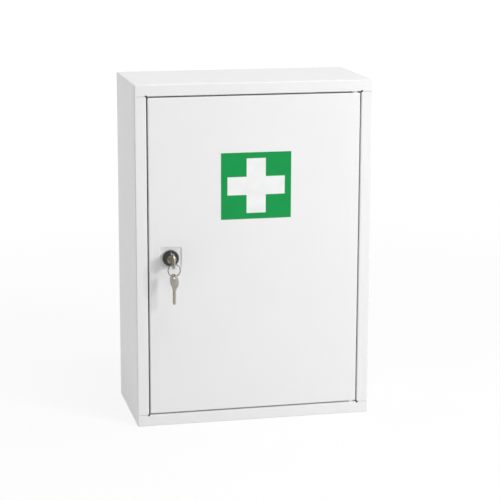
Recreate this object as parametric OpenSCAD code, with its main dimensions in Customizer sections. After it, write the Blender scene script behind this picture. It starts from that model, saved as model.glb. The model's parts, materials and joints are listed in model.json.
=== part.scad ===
// Lockable wall cabinet for medicines: a folded steel case with two fixed shelves, an inset
// door on two hidden pivot pins, a cam lock and its pair of keys.
//
// X runs to the right, Y runs back to the wall and Z runs up. The origin is the middle of the
// four wall screw holes, on the outer face of the back panel.

/* [Case] */
// Width of the case
case_w = 320; // [240:1:480]
// Height of the case
case_h = 460; // [340:1:700]
// Depth of the case, front face to wall
case_d = 155; // [110:1:260]
// Thickness of the folded steel sheet
sheet_t = 0.8; // [0.6:0.1:1.2]
// Outer radius of every fold in the sheet
bend_r = 1.5; // [1.3:0.1:2.0]
// Width of the front frame round the door opening
frame_w = 15.5; // [12:0.5:25]
// Depth of the jamb, the lip folded back round the door opening
jamb_d = 14; // [12:0.5:20]
// Width of the butt seams between the frame's flanges
seam_w = 0.3; // [0.2:0.1:0.6]
// Gap left at each corner of the opening, where two folds meet
fold_relief = 1; // [0.5:0.1:2]

/* [Back panel] */
// Depth of the flanges that the back panel is welded in by
back_flange = 12; // [8:1:20]
// Corner radius of the back panel
back_corner_r = 2; // [1.5:0.1:4]
// Clearance between the back panel's flanges and the case
weld_gap = 0.05; // [0.02:0.01:0.1]
// Diameter of the wall screw holes
wall_hole_d = 7; // [4:0.5:10]
// Distance from the case's side to the nearest wall screw hole
wall_hole_side = 45; // [30:1:60]
// Distance from the case's top or bottom to the nearest wall screw hole
wall_hole_end = 40; // [30:1:60]

/* [Shelves] */
// Depth of the fold down along a shelf's front edge
shelf_front_fold = 12; // [8:1:20]
// Height of the fold up along a shelf's back edge
shelf_back_fold = 10; // [6:1:20]
// Clearance between a shelf's ends and the back panel's flanges
shelf_end_gap = 0.4; // [0.3:0.1:0.8]
// Clearance between a shelf's back fold and the back panel
shelf_back_gap = 0.3; // [0.2:0.1:0.8]
// Free depth between the lock's rearmost piece and the front of the shelves
shelf_setback = 3; // [2:0.5:30]
// Width of each leg of the cleats under the shelves
cleat_w = 12; // [10:0.5:18]
// Distance from a cleat's front end to the front of its shelf
cleat_setback = 5; // [3:0.5:15]
// Distance from a cleat's back end to the back panel's flange
cleat_back_gap = 1.2; // [0.5:0.1:5]
// Diameter of the rivets' shanks
rivet_d = 3.2; // [2.4:0.1:4]
// Diameter of the rivets' heads
rivet_head_d = 6.4; // [5:0.1:7]
// Height of the rivets' heads
rivet_head_h = 1; // [0.6:0.1:1.5]
// Distance from a cleat's end to the nearest rivet
rivet_end = 16; // [10:1:25]
// Radial clearance of a rivet in its hole
rivet_gap = 0.03; // [0.02:0.01:0.1]

/* [Door] */
// Gap between the door and the frame, all round
door_gap = 1.8; // [1.6:0.1:2.4]
// Depth of the door's folded edges
door_d = 14; // [12:0.5:20]
// Width of the second fold along the door's upright edges
door_hem = 9; // [6:0.5:12]
// Side of the pocket pressed in round the lock
pocket_w = 29; // [27:0.5:34]
// Depth of the pocket
pocket_d = 1.2; // [0.6:0.1:2]
// Corner radius of the pocket
pocket_corner_r = 1.5; // [0.8:0.1:3]
// Distance from the door's free edge to the lock's axis
lock_inset = 28.7; // [26:0.1:40]
// Height of the lock's axis above the middle of the door
lock_rise = 0; // [-40:1:40]

/* [Hinge] */
// Diameter of the pivot pins
pin_d = 4; // [3:0.1:4.4]
// Distance from the door's hinged edge to the pins' axis
pin_in = 7; // [6.5:0.1:9]
// Diameter of the pins' riveted heads
pin_head_d = 6; // [5:0.1:6.4]
// Thickness of the pins' riveted heads
pin_head_h = 1.2; // [0.8:0.1:2]
// Depth that a pin reaches into the door
pin_reach = 6.5; // [5:0.1:9]
// Radial running clearance of a pin in its bush
pin_gap = 0.05; // [0.02:0.01:0.1]
// Wall of the nylon bushes
bush_wall = 1; // [0.8:0.1:1.3]
// Width of the bushes' flanges beyond their sleeves
bush_lip = 0.8; // [0.5:0.1:1]
// Length of the bushes' sleeves
bush_l = 5; // [3:0.1:6]
// Clearance between a bush's flange and the jamb
bush_gap = 0.2; // [0.1:0.05:0.3]

/* [Door stops] */
// Length of each door stop along the jamb
stop_l = 16; // [10:1:30]
// Distance from the opening's corner to a door stop
stop_end = 30; // [15:1:60]
// Reach of a door stop into the opening
stop_reach = 9; // [8:0.5:12]
// Length of the leg that a door stop is welded to the jamb by
stop_leg = 9; // [6:0.5:10]
// Diameter of the rubber bumpers
bumper_d = 5; // [4:0.5:6]
// Thickness of the rubber bumpers
bumper_t = 1.7; // [1:0.1:3]
// Clearance between the closed door and its bumpers
bumper_gap = 0.3; // [0.2:0.1:0.5]

/* [First-aid sign] */
// Width of the sign
sign_w = 95; // [60:1:140]
// Height of the sign
sign_h = 89; // [60:1:140]
// Thickness of the vinyl
sign_t = 0.15; // [0.1:0.05:0.3]
// Distance from the door's top edge down to the sign
sign_drop = 75; // [20:1:90]
// Distance of the sign's middle from the door's middle
sign_shift = 1.4; // [-20:0.2:20]
// Full width of the cross
cross_w = 77.6; // [40:0.2:90]
// Full height of the cross
cross_h = 73.2; // [40:0.2:84]
// Width of the cross's upright bar
cross_bar_w = 25.9; // [12:0.1:32]
// Height of the cross's level bar
cross_bar_h = 24.3; // [12:0.1:32]
// Cut line left between the green field and the cross
sign_cut = 0.05; // [0.02:0.01:0.1]

/* [Lock] */
// Diameter of the domed bezel
bezel_d = 22; // [21:0.1:24]
// Height of the bezel's straight band
bezel_band = 2.5; // [1.5:0.1:3]
// Height of the bezel above the pocket's floor
bezel_rise = 11.5; // [10.5:0.1:12]
// Thickness of the bezel's front wall
bezel_front = 1.3; // [0.8:0.1:2]
// Depth of the bezel's wide inner bore above the pocket's floor
bezel_bore_h = 4.5; // [3:0.1:5]
// Diameter of the threaded housing
housing_d = 19; // [18:0.1:19.4]
// Distance across the housing's flats
housing_flats = 16; // [15.5:0.1:17]
// Diameter of the housing's neck, inside the bezel
neck_d = 14; // [13.4:0.1:14.2]
// Clearance between the lock's fixed pieces
lock_fit = 0.05; // [0.03:0.01:0.1]
// Thickness of the washer behind the door
washer_t = 0.8; // [0.5:0.1:1.2]
// Diameter of the washer behind the door
washer_d = 26; // [24:0.5:28]
// Thickness of the lock nut
nut_t = 4; // [3:0.1:6]
// Distance across the lock nut's flats
nut_flats = 23; // [22:0.1:24]
// Diameter of the turning plug
plug_d = 12; // [11.6:0.1:12.2]
// Radial running clearance of the plug
plug_gap = 0.05; // [0.02:0.01:0.1]
// Depth of the plug's face behind the bezel's front
plug_recess = 0.4; // [0.1:0.1:1]
// Gap between the bezel's front hole and the plug
bezel_hole_gap = 0.4; // [0.2:0.1:0.5]
// Number of wafers in the plug
wafer_count = 5; // [3:1:5]
// Distance between wafers
wafer_pitch = 3; // [2.4:0.1:3.2]
// Distance from the plug's face to the first wafer
wafer_first = 3.5; // [2.5:0.1:4]
// Thickness of a wafer
wafer_t = 1; // [0.6:0.1:1.2]
// Width of a wafer
wafer_w = 5; // [4.4:0.1:5.4]
// Clearance round a wafer in its slot
wafer_gap = 0.05; // [0.03:0.01:0.1]
// Thickness of the cam
cam_t = 2; // [1.5:0.1:3]
// Width of the cam
cam_w = 13; // [11:0.5:16]
// Length of the cam behind the jamb when the door is locked
cam_grip = 7; // [4:0.5:9]
// Running clearance between the cam and what it swings past
cam_gap = 1.2; // [0.6:0.1:2]
// Side of the plug's square tail
tail_w = 7; // [6:0.1:8]
// Diameter of the cam screw
cam_screw_d = 4; // [3:0.1:5]
// Length of the cam screw's thread in the plug
cam_screw_l = 4; // [3:0.1:4.5]
// Diameter of the cam screw's head
cam_screw_head_d = 7; // [6:0.1:9]
// Height of the cam screw's head
cam_screw_head_h = 2.4; // [1.6:0.1:3]
// Diameter of the cam washer
cam_washer_d = 10.5; // [10:0.5:12]
// Thickness of the cam washer
cam_washer_t = 0.8; // [0.5:0.1:1.2]

/* [Keys] */
// Thickness of a key
key_t = 2; // [1.6:0.1:2.4]
// Diameter of a key's bow
bow_d = 21; // [19:0.5:24]
// Length of a key's bow, from the blade's shoulder to its end
bow_l = 20.7; // [19:0.1:24]
// Radius of the hole for the ring, at each end
bow_hole_r = 2.6; // [2.5:0.1:3]
// Distance between the centres of the ring hole's round ends
bow_hole_span = 3; // [2:0.1:4]
// Metal left between the ring hole and the bow's end
bow_bridge = 2.2; // [1.6:0.1:3]
// Width of a key's shoulder
shoulder_w = 9; // [8:0.1:11]
// Length of a key's shoulder
shoulder_l = 3; // [2:0.1:4]
// Width of a key's blade
blade_w = 5.4; // [4.8:0.1:5.8]
// Length of a key's blade
blade_l = 20.5; // [18:0.1:21]
// Depth of the deepest cut in a blade's edge
bit_depth = 1.2; // [0.6:0.1:1.4]
// Width of the groove along each side of a blade
groove_w = 1.4; // [0.8:0.1:2]
// Depth of the groove along each side of a blade
groove_d = 0.4; // [0.2:0.1:0.6]
// Clearance round a blade in the keyway
keyway_gap = 0.2; // [0.1:0.05:0.3]
// Distance between the shoulder of the inserted key and the plug
key_standoff = 0.3; // [0.2:0.1:1]
// Radius of the split ring, to the middle of its wire
ring_r = 8.1; // [7.5:0.1:12]
// Width of the split ring's wire, measured along its radius
ring_wire = 1.2; // [0.8:0.1:1.4]
// Thickness of one turn of the split ring
ring_turn = 1; // [0.6:0.1:1.1]
// Depth of the line between the split ring's two turns
ring_line = 0.12; // [0.05:0.01:0.3]
// Smallest play of the ring's wire in a key's hole
ring_play = 0.12; // [0.05:0.01:0.3]
// Angle that the spare key hangs turned by
spare_twist = 21; // [0:1:30]

/* [Hidden] */

$fn = 64;
// Overshoot of a cut past the face that it goes through
cut = 1;

// Colours
powder_white = [0.93, 0.94, 0.94];
inside_white = [0.88, 0.89, 0.89];
sign_green = [0.07, 0.58, 0.30];
sign_white = [0.96, 0.97, 0.96];
black_nickel = [0.10, 0.10, 0.11];
die_cast = [0.55, 0.55, 0.56];
zinc = [0.72, 0.73, 0.74];
nickel = [0.72, 0.69, 0.62];
brass = [0.76, 0.60, 0.32];
nylon = [0.85, 0.85, 0.82];
rubber = [0.12, 0.12, 0.12];

// The case
front_y = -case_d;
inner_w = case_w - 2 * sheet_t;
inner_h = case_h - 2 * sheet_t;
inner_r = bend_r - sheet_t;
opening_w = case_w - 2 * frame_w;
opening_h = case_h - 2 * frame_w;
wall_hole_x = case_w / 2 - wall_hole_side;
wall_hole_z = case_h / 2 - wall_hole_end;

// The door and its pins
door_w = opening_w - 2 * door_gap;
door_h = opening_h - 2 * door_gap;
pin_x = door_w / 2 - pin_in;
// A pin's head lies just behind the fold between the frame and the jamb
pin_y = front_y + bend_r + pin_head_d / 2;
pin_r = pin_d / 2;
bush_bore_r = pin_r + pin_gap;
bush_r = bush_bore_r + bush_wall;
bush_flange_t = door_gap - bush_gap;

// The lock, whose depths are measured back from the door's front face
lock_x = -door_w / 2 + lock_inset;
floor_back = pocket_d + sheet_t;
bezel_r = bezel_d / 2;
bezel_front_d = pocket_d - bezel_rise;
dome_base_d = pocket_d - bezel_band;
bezel_step_d = pocket_d - bezel_bore_h;
neck_front_d = bezel_front_d + bezel_front;
plug_r = plug_d / 2;
plug_face_d = bezel_front_d + plug_recess;
cam_front_d = max(jamb_d, door_d) + cam_gap;
barrel_back_d = cam_front_d - lock_fit;
cam_back_d = cam_front_d + cam_t;
cam_washer_back_d = cam_back_d + cam_washer_t;
lock_back_d = cam_washer_back_d + cam_screw_head_h;
cam_reach = lock_inset + door_gap + sheet_t + cam_grip;
keyway_w = key_t + 2 * keyway_gap;
keyway_h = blade_w + 2 * keyway_gap;
keyway_back_d = plug_face_d + blade_l + cut;

// The keys and their ring, hung on the inserted key
wire_reach = norm([ring_wire / 2, ring_turn]);
bow_hole_u = -(bow_l - bow_bridge - bow_hole_r);
key_d = plug_face_d - key_standoff;
ring_y = front_y + key_d + bow_hole_u;
ring_pivot_z = lock_rise - bow_hole_span / 2 - (bow_hole_r - wire_reach - ring_play);
ring_z = ring_pivot_z - ring_r;
spare_pivot_z = ring_z - ring_r;
// At the twist, the wire takes up this much more of the hole's width
twist_use = key_t / 2 * tan(spare_twist) + wire_reach / cos(spare_twist);
hole_half_v = max(twist_use - bow_hole_span / 2, 0);
spare_play = sqrt(pow(bow_hole_r, 2) - pow(hole_half_v, 2)) - wire_reach - ring_play;

// The shelves
shelf_front_y = front_y + lock_back_d + shelf_setback;
shelf_back_y = -sheet_t - shelf_back_gap;
shelf_w = inner_w - 2 * (weld_gap + sheet_t + shelf_end_gap);
shelf_rise = inner_h / 6;
cleat_front_y = shelf_front_y + cleat_setback;
cleat_back_y = -back_flange - cleat_back_gap;
rivet_x = inner_w / 2 - cleat_w / 2 - sheet_t;
rivet_ys = [cleat_front_y + rivet_end, cleat_back_y - rivet_end];

// The door stops
bumper_front_d = door_d + bumper_gap;
stop_front_d = bumper_front_d + bumper_t;
stop_z = opening_h / 2 - stop_end - stop_l / 2;

// ---- Placing ----

// Extrudes a flat shape drawn in X and Z from y0 back to y1
module along_y(y0, y1) {
    translate([0, y1, 0]) rotate([90, 0, 0]) linear_extrude(y1 - y0) children();
}

// Extrudes a flat shape drawn in Y and Z from x0 to x1
module along_x(x0, x1) {
    translate([x0, 0, 0]) rotate([90, 0, 90]) linear_extrude(x1 - x0) children();
}

// Extrudes a flat shape drawn in X and Y from z0 up to z1
module along_z(z0, z1) {
    translate([0, 0, z0]) linear_extrude(z1 - z0) children();
}

// Puts a piece drawn with Z as depth behind the door's face on the lock's axis, with Y down
module at_lock() {
    translate([lock_x, front_y, lock_rise]) rotate([-90, 0, 0]) children();
}

// Draws its children on the left and, turned over, on the right
module both_sides() {
    children();
    mirror([1, 0, 0]) children();
}

// ---- Flat shapes ----

module rounded_rect(w, h, r) {
    square([w - 2 * r, h], center = true);
    square([w, h - 2 * r], center = true);
    for (sx = [-1, 1], sy = [-1, 1])
        translate([sx * (w / 2 - r), sy * (h / 2 - r)]) circle(r);
}

// A rectangle from y0 to y1 whose two corners at y0 are round
module front_rounded(w, y0, y1, r) {
    translate([-w / 2, y0 + r]) square([w, y1 - y0 - r]);
    translate([-w / 2 + r, y0]) square([w - 2 * r, y1 - y0]);
    for (side = [-1, 1])
        translate([side * (w / 2 - r), y0 + r]) circle(r);
}

// A quarter of a folded sheet's bend, in the quadrant left of and below its centre
module bend() {
    intersection() {
        difference() {
            circle(bend_r);
            circle(inner_r);
        }
        translate([-bend_r, -bend_r]) square(bend_r);
    }
}

// ---- Folded blocks ----

// A block whose front edges are round, as the outside or inside of a folded pan
module front_rounded_box(w, h, y0, y1, r) {
    intersection() {
        along_y(y0, y1) rounded_rect(w, h, r);
        along_z(-h / 2, h / 2) front_rounded(w, y0, y1, r);
        along_x(-w / 2, w / 2) mirror([1, -1]) front_rounded(h, y0, y1, r);
    }
}

// Sheet folded into a pan that is open at the back
module folded_pan(w, h, y0, y1) {
    difference() {
        front_rounded_box(w, h, y0, y1, bend_r);
        front_rounded_box(w - 2 * sheet_t, h - 2 * sheet_t, y0 + sheet_t, y1 + cut, inner_r);
    }
}

// ---- Case ----

// The jamb's section: X runs out from the opening's edge and Y runs back from the front face
module jamb_section() {
    translate([bend_r, bend_r]) bend();
    translate([0, bend_r]) square([sheet_t, jamb_d - bend_r]);
}

module jamb_upright() {
    along_z(-opening_h / 2 + fold_relief, opening_h / 2 - fold_relief)
        translate([-opening_w / 2, front_y]) mirror([1, 0]) jamb_section();
}

module jamb_level() {
    along_x(-opening_w / 2 + fold_relief, opening_w / 2 - fold_relief)
        translate([front_y, opening_h / 2]) mirror([1, -1]) jamb_section();
}

module pin_hole() {
    translate([pin_x, pin_y, opening_h / 2 - cut]) cylinder(r = pin_r, h = sheet_t + 2 * cut);
}

module case_wrap() {
    color(powder_white) {
        difference() {
            folded_pan(case_w, case_h, front_y, 0);
            along_y(front_y - cut, front_y + sheet_t + cut)
                square([opening_w + 2 * bend_r, opening_h + 2 * bend_r], center = true);
            for (end = [-1, 1])
                both_sides()
                    translate([-case_w / 2 + bend_r, front_y - cut, end * opening_h / 2 - seam_w / 2])
                        cube([frame_w - bend_r, sheet_t + 2 * cut, seam_w]);
        }
        both_sides() jamb_upright();
        difference() {
            union() {
                jamb_level();
                mirror([0, 0, 1]) jamb_level();
            }
            pin_hole();
            mirror([0, 0, 1]) pin_hole();
        }
    }
}

module back_panel() {
    outer_w = inner_w - 2 * weld_gap;
    outer_h = inner_h - 2 * weld_gap;
    color(powder_white) difference() {
        along_y(-back_flange, 0) rounded_rect(outer_w, outer_h, back_corner_r);
        along_y(-back_flange - cut, -sheet_t)
            rounded_rect(outer_w - 2 * sheet_t, outer_h - 2 * sheet_t, back_corner_r - sheet_t);
        for (sx = [-1, 1], sz = [-1, 1])
            translate([sx * wall_hole_x, cut, sz * wall_hole_z])
                rotate([90, 0, 0]) cylinder(d = wall_hole_d, h = sheet_t + 2 * cut);
    }
}

// ---- Shelves ----

module rivet_places() {
    for (side = [-1, 1], y = rivet_ys)
        translate([side * rivet_x, y, 0]) children();
}

module rivet_holes() {
    rivet_places() translate([0, 0, -sheet_t * 2 - cut])
        cylinder(r = rivet_d / 2 + rivet_gap, h = sheet_t * 2 + 2 * cut);
}

// A shelf whose top face is at Z = 0
module shelf() {
    color(inside_white) difference() {
        along_x(-shelf_w / 2, shelf_w / 2) {
            translate([shelf_front_y + bend_r, -sheet_t])
                square([shelf_back_y - shelf_front_y - 2 * bend_r, sheet_t]);
            translate([shelf_front_y + bend_r, -bend_r]) mirror([0, 1]) bend();
            translate([shelf_front_y, -shelf_front_fold])
                square([sheet_t, shelf_front_fold - bend_r]);
            translate([shelf_back_y - bend_r, inner_r]) mirror([1, 0]) bend();
            translate([shelf_back_y - sheet_t, inner_r])
                square([sheet_t, shelf_back_fold - inner_r]);
        }
        rivet_holes();
    }
}

// Two angle cleats, welded to the case's sides, that carry a shelf whose top is at Z = 0
module cleats() {
    color(inside_white) difference() {
        both_sides() translate([-inner_w / 2, 0, -sheet_t]) rotate([-90, 0, 0])
            translate([0, 0, cleat_front_y]) linear_extrude(cleat_back_y - cleat_front_y) {
                translate([bend_r, bend_r]) bend();
                translate([bend_r, 0]) square([cleat_w - bend_r, sheet_t]);
                translate([0, bend_r]) square([sheet_t, cleat_w - bend_r]);
            }
        rivet_holes();
    }
}

// A blind rivet through a shelf and its cleat, with the head on the shelf's top
module rivet() {
    tail_l = 1.5;
    tail_d = rivet_d + 1.2;
    translate([0, 0, -2 * sheet_t - tail_l]) cylinder(d = tail_d, h = tail_l);
    translate([0, 0, -2 * sheet_t - tail_l / 2])
        cylinder(d = rivet_d, h = 2 * sheet_t + tail_l / 2 + rivet_head_h / 2);
    cylinder(d1 = rivet_head_d, d2 = rivet_d, h = rivet_head_h);
}

module shelf_upper() {
    translate([0, 0, shelf_rise]) shelf();
}

module shelf_lower() {
    translate([0, 0, -shelf_rise]) shelf();
}

module cleats_upper() {
    translate([0, 0, shelf_rise]) cleats();
}

module cleats_lower() {
    translate([0, 0, -shelf_rise]) cleats();
}

module shelf_rivets() {
    color(die_cast)
        for (z = [-shelf_rise, shelf_rise])
            translate([0, 0, z]) rivet_places() rivet();
}

// ---- Hinge ----

// The top pin, riveted in the jamb, with its end turned down to a cone
module hinge_pin() {
    tip_l = 1;
    tip_d = pin_d - 1.4;
    pin_end = door_h / 2 - pin_reach;
    color(zinc) translate([pin_x, pin_y, 0]) {
        translate([0, 0, opening_h / 2 + sheet_t]) cylinder(d = pin_head_d, h = pin_head_h);
        translate([0, 0, pin_end + tip_l])
            cylinder(r = pin_r, h = opening_h / 2 + sheet_t + pin_head_h / 2 - pin_end - tip_l);
        translate([0, 0, pin_end]) cylinder(d1 = tip_d, d2 = pin_d, h = tip_l);
    }
}

// The top bush: a sleeve in the door's edge under a flange in the gap
module hinge_bush() {
    color(nylon) translate([pin_x, pin_y, 0]) difference() {
        union() {
            translate([0, 0, door_h / 2 - bush_l]) cylinder(r = bush_r, h = bush_l + bush_flange_t);
            translate([0, 0, door_h / 2]) cylinder(r = bush_r + bush_lip, h = bush_flange_t);
        }
        translate([0, 0, door_h / 2 - bush_l - cut])
            cylinder(r = bush_bore_r, h = bush_l + bush_flange_t + 2 * cut);
    }
}

module hinge_pin_top() {
    hinge_pin();
}

module hinge_pin_bottom() {
    mirror([0, 0, 1]) hinge_pin();
}

module hinge_bush_top() {
    hinge_bush();
}

module hinge_bush_bottom() {
    mirror([0, 0, 1]) hinge_bush();
}

// ---- Door stops ----

module door_stop() {
    back_x = -opening_w / 2 - 2 * sheet_t;
    color(powder_white) translate([0, front_y, -stop_l / 2]) {
        translate([back_x, jamb_d - stop_leg, 0])
            cube([sheet_t, stop_front_d + sheet_t - jamb_d + stop_leg, stop_l]);
        translate([back_x, stop_front_d, 0])
            cube([stop_reach + 2 * sheet_t, sheet_t, stop_l]);
    }
}

module stop_bumper() {
    bumper_x = -opening_w / 2 + stop_reach - bumper_d / 2 - sheet_t / 2;
    color(rubber) translate([bumper_x, front_y + stop_front_d, 0])
        rotate([90, 0, 0]) cylinder(d = bumper_d, h = bumper_t);
}

module door_stops() {
    for (z = [-stop_z, stop_z]) translate([0, 0, z]) door_stop();
}

module stop_bumpers() {
    for (z = [-stop_z, stop_z]) translate([0, 0, z]) stop_bumper();
}

// ---- Door ----

// The outline of the lock's barrel: a circle with two upright flats
module barrel_outline(gap) {
    intersection() {
        circle(housing_d / 2 + gap);
        square([housing_flats + 2 * gap, housing_d + 2 * gap + cut], center = true);
    }
}

module bush_hole() {
    translate([pin_x, pin_y, door_h / 2 - sheet_t - cut])
        cylinder(r = bush_r + lock_fit, h = sheet_t + 2 * cut);
}

// The second fold along the door's free edge
module door_hem_strip() {
    translate([-door_w / 2 + sheet_t / 2, front_y + door_d - sheet_t, -door_h / 2 + sheet_t + fold_relief])
        cube([door_hem - sheet_t / 2, sheet_t, door_h - 2 * sheet_t - 2 * fold_relief]);
}

module door_panel() {
    pad_w = pocket_w + 2 * sheet_t;
    color(powder_white) difference() {
        union() {
            folded_pan(door_w, door_h, front_y, front_y + door_d);
            both_sides() door_hem_strip();
            at_lock() translate([0, 0, sheet_t / 2]) linear_extrude(floor_back - sheet_t / 2)
                rounded_rect(pad_w, pad_w, pocket_corner_r + sheet_t);
        }
        at_lock() translate([0, 0, -cut]) linear_extrude(pocket_d + cut)
            rounded_rect(pocket_w, pocket_w, pocket_corner_r);
        at_lock() translate([0, 0, -cut]) linear_extrude(floor_back + 2 * cut)
            barrel_outline(2 * lock_fit);
        bush_hole();
        mirror([0, 0, 1]) bush_hole();
    }
}

// ---- First-aid sign ----

module cross_outline(grow) {
    square([cross_w + 2 * grow, cross_bar_h + 2 * grow], center = true);
    square([cross_bar_w + 2 * grow, cross_h + 2 * grow], center = true);
}

module at_sign() {
    along_y(front_y - sign_t, front_y)
        translate([sign_shift, door_h / 2 - sign_drop - sign_h / 2]) children();
}

module sign_field() {
    color(sign_green) at_sign() difference() {
        square([sign_w, sign_h], center = true);
        cross_outline(sign_cut);
    }
}

module sign_cross() {
    color(sign_white) at_sign() cross_outline(0);
}

// ---- Lock ----

module lock_bezel() {
    wide_r = housing_d / 2 + lock_fit;
    narrow_r = neck_d / 2 + lock_fit;
    front_r = plug_r + bezel_hole_gap;
    color(black_nickel) at_lock() rotate_extrude() difference() {
        union() {
            translate([0, dome_base_d]) square([bezel_r, bezel_band]);
            intersection() {
                translate([0, dome_base_d]) circle(bezel_r);
                translate([0, bezel_front_d]) square([bezel_r, bezel_rise - bezel_band]);
            }
        }
        translate([0, bezel_step_d]) square([wide_r, bezel_bore_h + cut]);
        translate([0, neck_front_d - lock_fit]) square([narrow_r, bezel_rise]);
        translate([0, bezel_front_d - cut]) square([front_r, bezel_rise]);
    }
}

module lock_housing() {
    shoulder_d = bezel_step_d + lock_fit;
    color(die_cast) at_lock() difference() {
        union() {
            translate([0, 0, shoulder_d]) linear_extrude(barrel_back_d - shoulder_d) barrel_outline(0);
            translate([0, 0, neck_front_d]) cylinder(d = neck_d, h = shoulder_d - neck_front_d + cut);
        }
        translate([0, 0, neck_front_d - cut])
            cylinder(r = plug_r + plug_gap, h = barrel_back_d - neck_front_d + 2 * cut);
    }
}

module lock_washer() {
    color(zinc) at_lock() translate([0, 0, floor_back]) difference() {
        cylinder(d = washer_d, h = washer_t);
        translate([0, 0, -cut]) cylinder(r = housing_d / 2 + lock_fit, h = washer_t + 2 * cut);
    }
}

module lock_nut() {
    color(zinc) at_lock() translate([0, 0, floor_back + washer_t]) difference() {
        cylinder(d = nut_flats / cos(30), h = nut_t, $fn = 6);
        translate([0, 0, -cut]) cylinder(r = housing_d / 2 + lock_fit, h = nut_t + 2 * cut);
    }
}

// The places of the wafers along the plug
module wafer_places() {
    for (i = [0 : wafer_count - 1])
        translate([0, 0, plug_face_d + wafer_first + i * wafer_pitch]) children();
}

module lock_plug() {
    slot_t = wafer_t + 2 * wafer_gap;
    slot_w = wafer_w + 2 * wafer_gap;
    plug_back_d = cam_front_d - lock_fit;
    tail_back_d = cam_back_d - lock_fit;
    color(nickel) at_lock() difference() {
        union() {
            translate([0, 0, plug_face_d]) cylinder(r = plug_r, h = plug_back_d - plug_face_d);
            translate([-tail_w / 2, -tail_w / 2, plug_back_d - cut])
                cube([tail_w, tail_w, tail_back_d - plug_back_d + cut]);
        }
        translate([-keyway_w / 2, -keyway_h / 2, plug_face_d - cut])
            cube([keyway_w, keyway_h, keyway_back_d - plug_face_d + cut]);
        wafer_places() translate([-slot_w / 2, -plug_d, -slot_t / 2]) cube([slot_w, 2 * plug_d, slot_t]);
        translate([0, 0, cam_back_d - cam_screw_l - lock_fit])
            cylinder(d = cam_screw_d + 2 * lock_fit, h = cam_screw_l + cut);
    }
}

module lock_wafers() {
    window_w = key_t + 2 * keyway_gap;
    window_h = blade_w + 2 * keyway_gap;
    color(brass) at_lock() wafer_places() difference() {
        intersection() {
            cube([wafer_w, plug_d, wafer_t], center = true);
            cylinder(r = plug_r - wafer_gap, h = wafer_t, center = true);
        }
        cube([window_w, window_h, wafer_t + cut], center = true);
    }
}

// The cam points down when the door is unlocked
module lock_cam() {
    hub_r = tail_w / 2 * sqrt(2) + 2;
    tip_r = cam_w / 2;
    color(zinc) at_lock() translate([0, 0, cam_front_d]) linear_extrude(cam_t) difference() {
        union() {
            circle(hub_r);
            translate([-tip_r, 0]) square([cam_w, cam_reach - tip_r]);
            translate([0, cam_reach - tip_r]) circle(tip_r);
        }
        square(tail_w + 2 * lock_fit, center = true);
    }
}

module cam_washer() {
    color(zinc) at_lock() translate([0, 0, cam_back_d]) difference() {
        cylinder(d = cam_washer_d, h = cam_washer_t);
        translate([0, 0, -cut]) cylinder(d = cam_screw_d + 2 * lock_fit, h = cam_washer_t + 2 * cut);
    }
}

module cam_screw() {
    slot_w = 1;
    slot_d = 1;
    color(zinc) at_lock() difference() {
        union() {
            translate([0, 0, cam_back_d - cam_screw_l])
                cylinder(d = cam_screw_d, h = cam_screw_l + cam_washer_t + cam_screw_head_h / 2);
            translate([0, 0, cam_washer_back_d]) cylinder(d = cam_screw_head_d, h = cam_screw_head_h);
        }
        translate([-cam_screw_head_d, -slot_w / 2, lock_back_d - slot_d])
            cube([2 * cam_screw_head_d, slot_w, slot_d + cut]);
    }
}

// ---- Keys ----

// A key's outline: the shoulder is at X = 0, the blade runs to +X and the cuts are on its -Y edge
module key_outline() {
    tip_l = 2;
    bits = [0.5, 1, 0.3, 0.8];
    bit_pitch = blade_l / (len(bits) + 1.5);
    bow_r = bow_d / 2;
    difference() {
        union() {
            translate([-bow_l + bow_r, 0]) circle(bow_r);
            translate([-shoulder_l, -shoulder_w / 2]) square([shoulder_l, shoulder_w]);
            polygon([
                [-shoulder_l, -blade_w / 2], [blade_l - tip_l, -blade_w / 2], [blade_l, -blade_w / 8],
                [blade_l, blade_w / 8], [blade_l - tip_l, blade_w / 2], [-shoulder_l, blade_w / 2]
            ]);
        }
        for (i = [0 : len(bits) - 1])
            translate([blade_l - bit_pitch * (i + 1), -blade_w / 2])
                polygon([
                    [-bits[i] * bit_depth - 0.5, -cut], [-bits[i] * bit_depth - 0.5, 0],
                    [-0.5, bits[i] * bit_depth], [0.5, bits[i] * bit_depth],
                    [bits[i] * bit_depth + 0.5, 0], [bits[i] * bit_depth + 0.5, -cut]
                ]);
        translate([bow_hole_u, 0]) {
            for (side = [-1, 1]) translate([0, side * bow_hole_span / 2]) circle(bow_hole_r);
            square([2 * bow_hole_r, bow_hole_span], center = true);
        }
    }
}

module key() {
    groove_start = shoulder_l / 2;
    color(nickel) difference() {
        translate([0, 0, -key_t / 2]) linear_extrude(key_t) key_outline();
        for (side = [-1, 1])
            translate([groove_start, -groove_w / 2 + side * groove_w / 4, side > 0 ? key_t / 2 - groove_d : -key_t / 2 - cut])
                cube([blade_l, groove_w, groove_d + cut]);
    }
}

module door_key() {
    at_lock() translate([0, 0, key_d]) rotate([0, -90, 0]) key();
}

// The split ring: two turns of flat wire, in one closed coil
module split_ring() {
    half = ring_wire / 2;
    color(zinc) translate([lock_x, ring_y, ring_z]) rotate([90, 0, 0]) rotate_extrude()
        translate([ring_r, 0]) polygon([
            [-half, -ring_turn], [half, -ring_turn],
            [half, -ring_line], [half - ring_line, 0], [half, ring_line],
            [half, ring_turn], [-half, ring_turn],
            [-half, ring_line], [-half + ring_line, 0], [-half, -ring_line]
        ]);
}

module spare_key() {
    translate([lock_x, ring_y, spare_pivot_z]) rotate([0, 0, spare_twist])
        rotate([0, 90, 0]) translate([-bow_hole_u + spare_play, 0, 0]) key();
}

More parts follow.
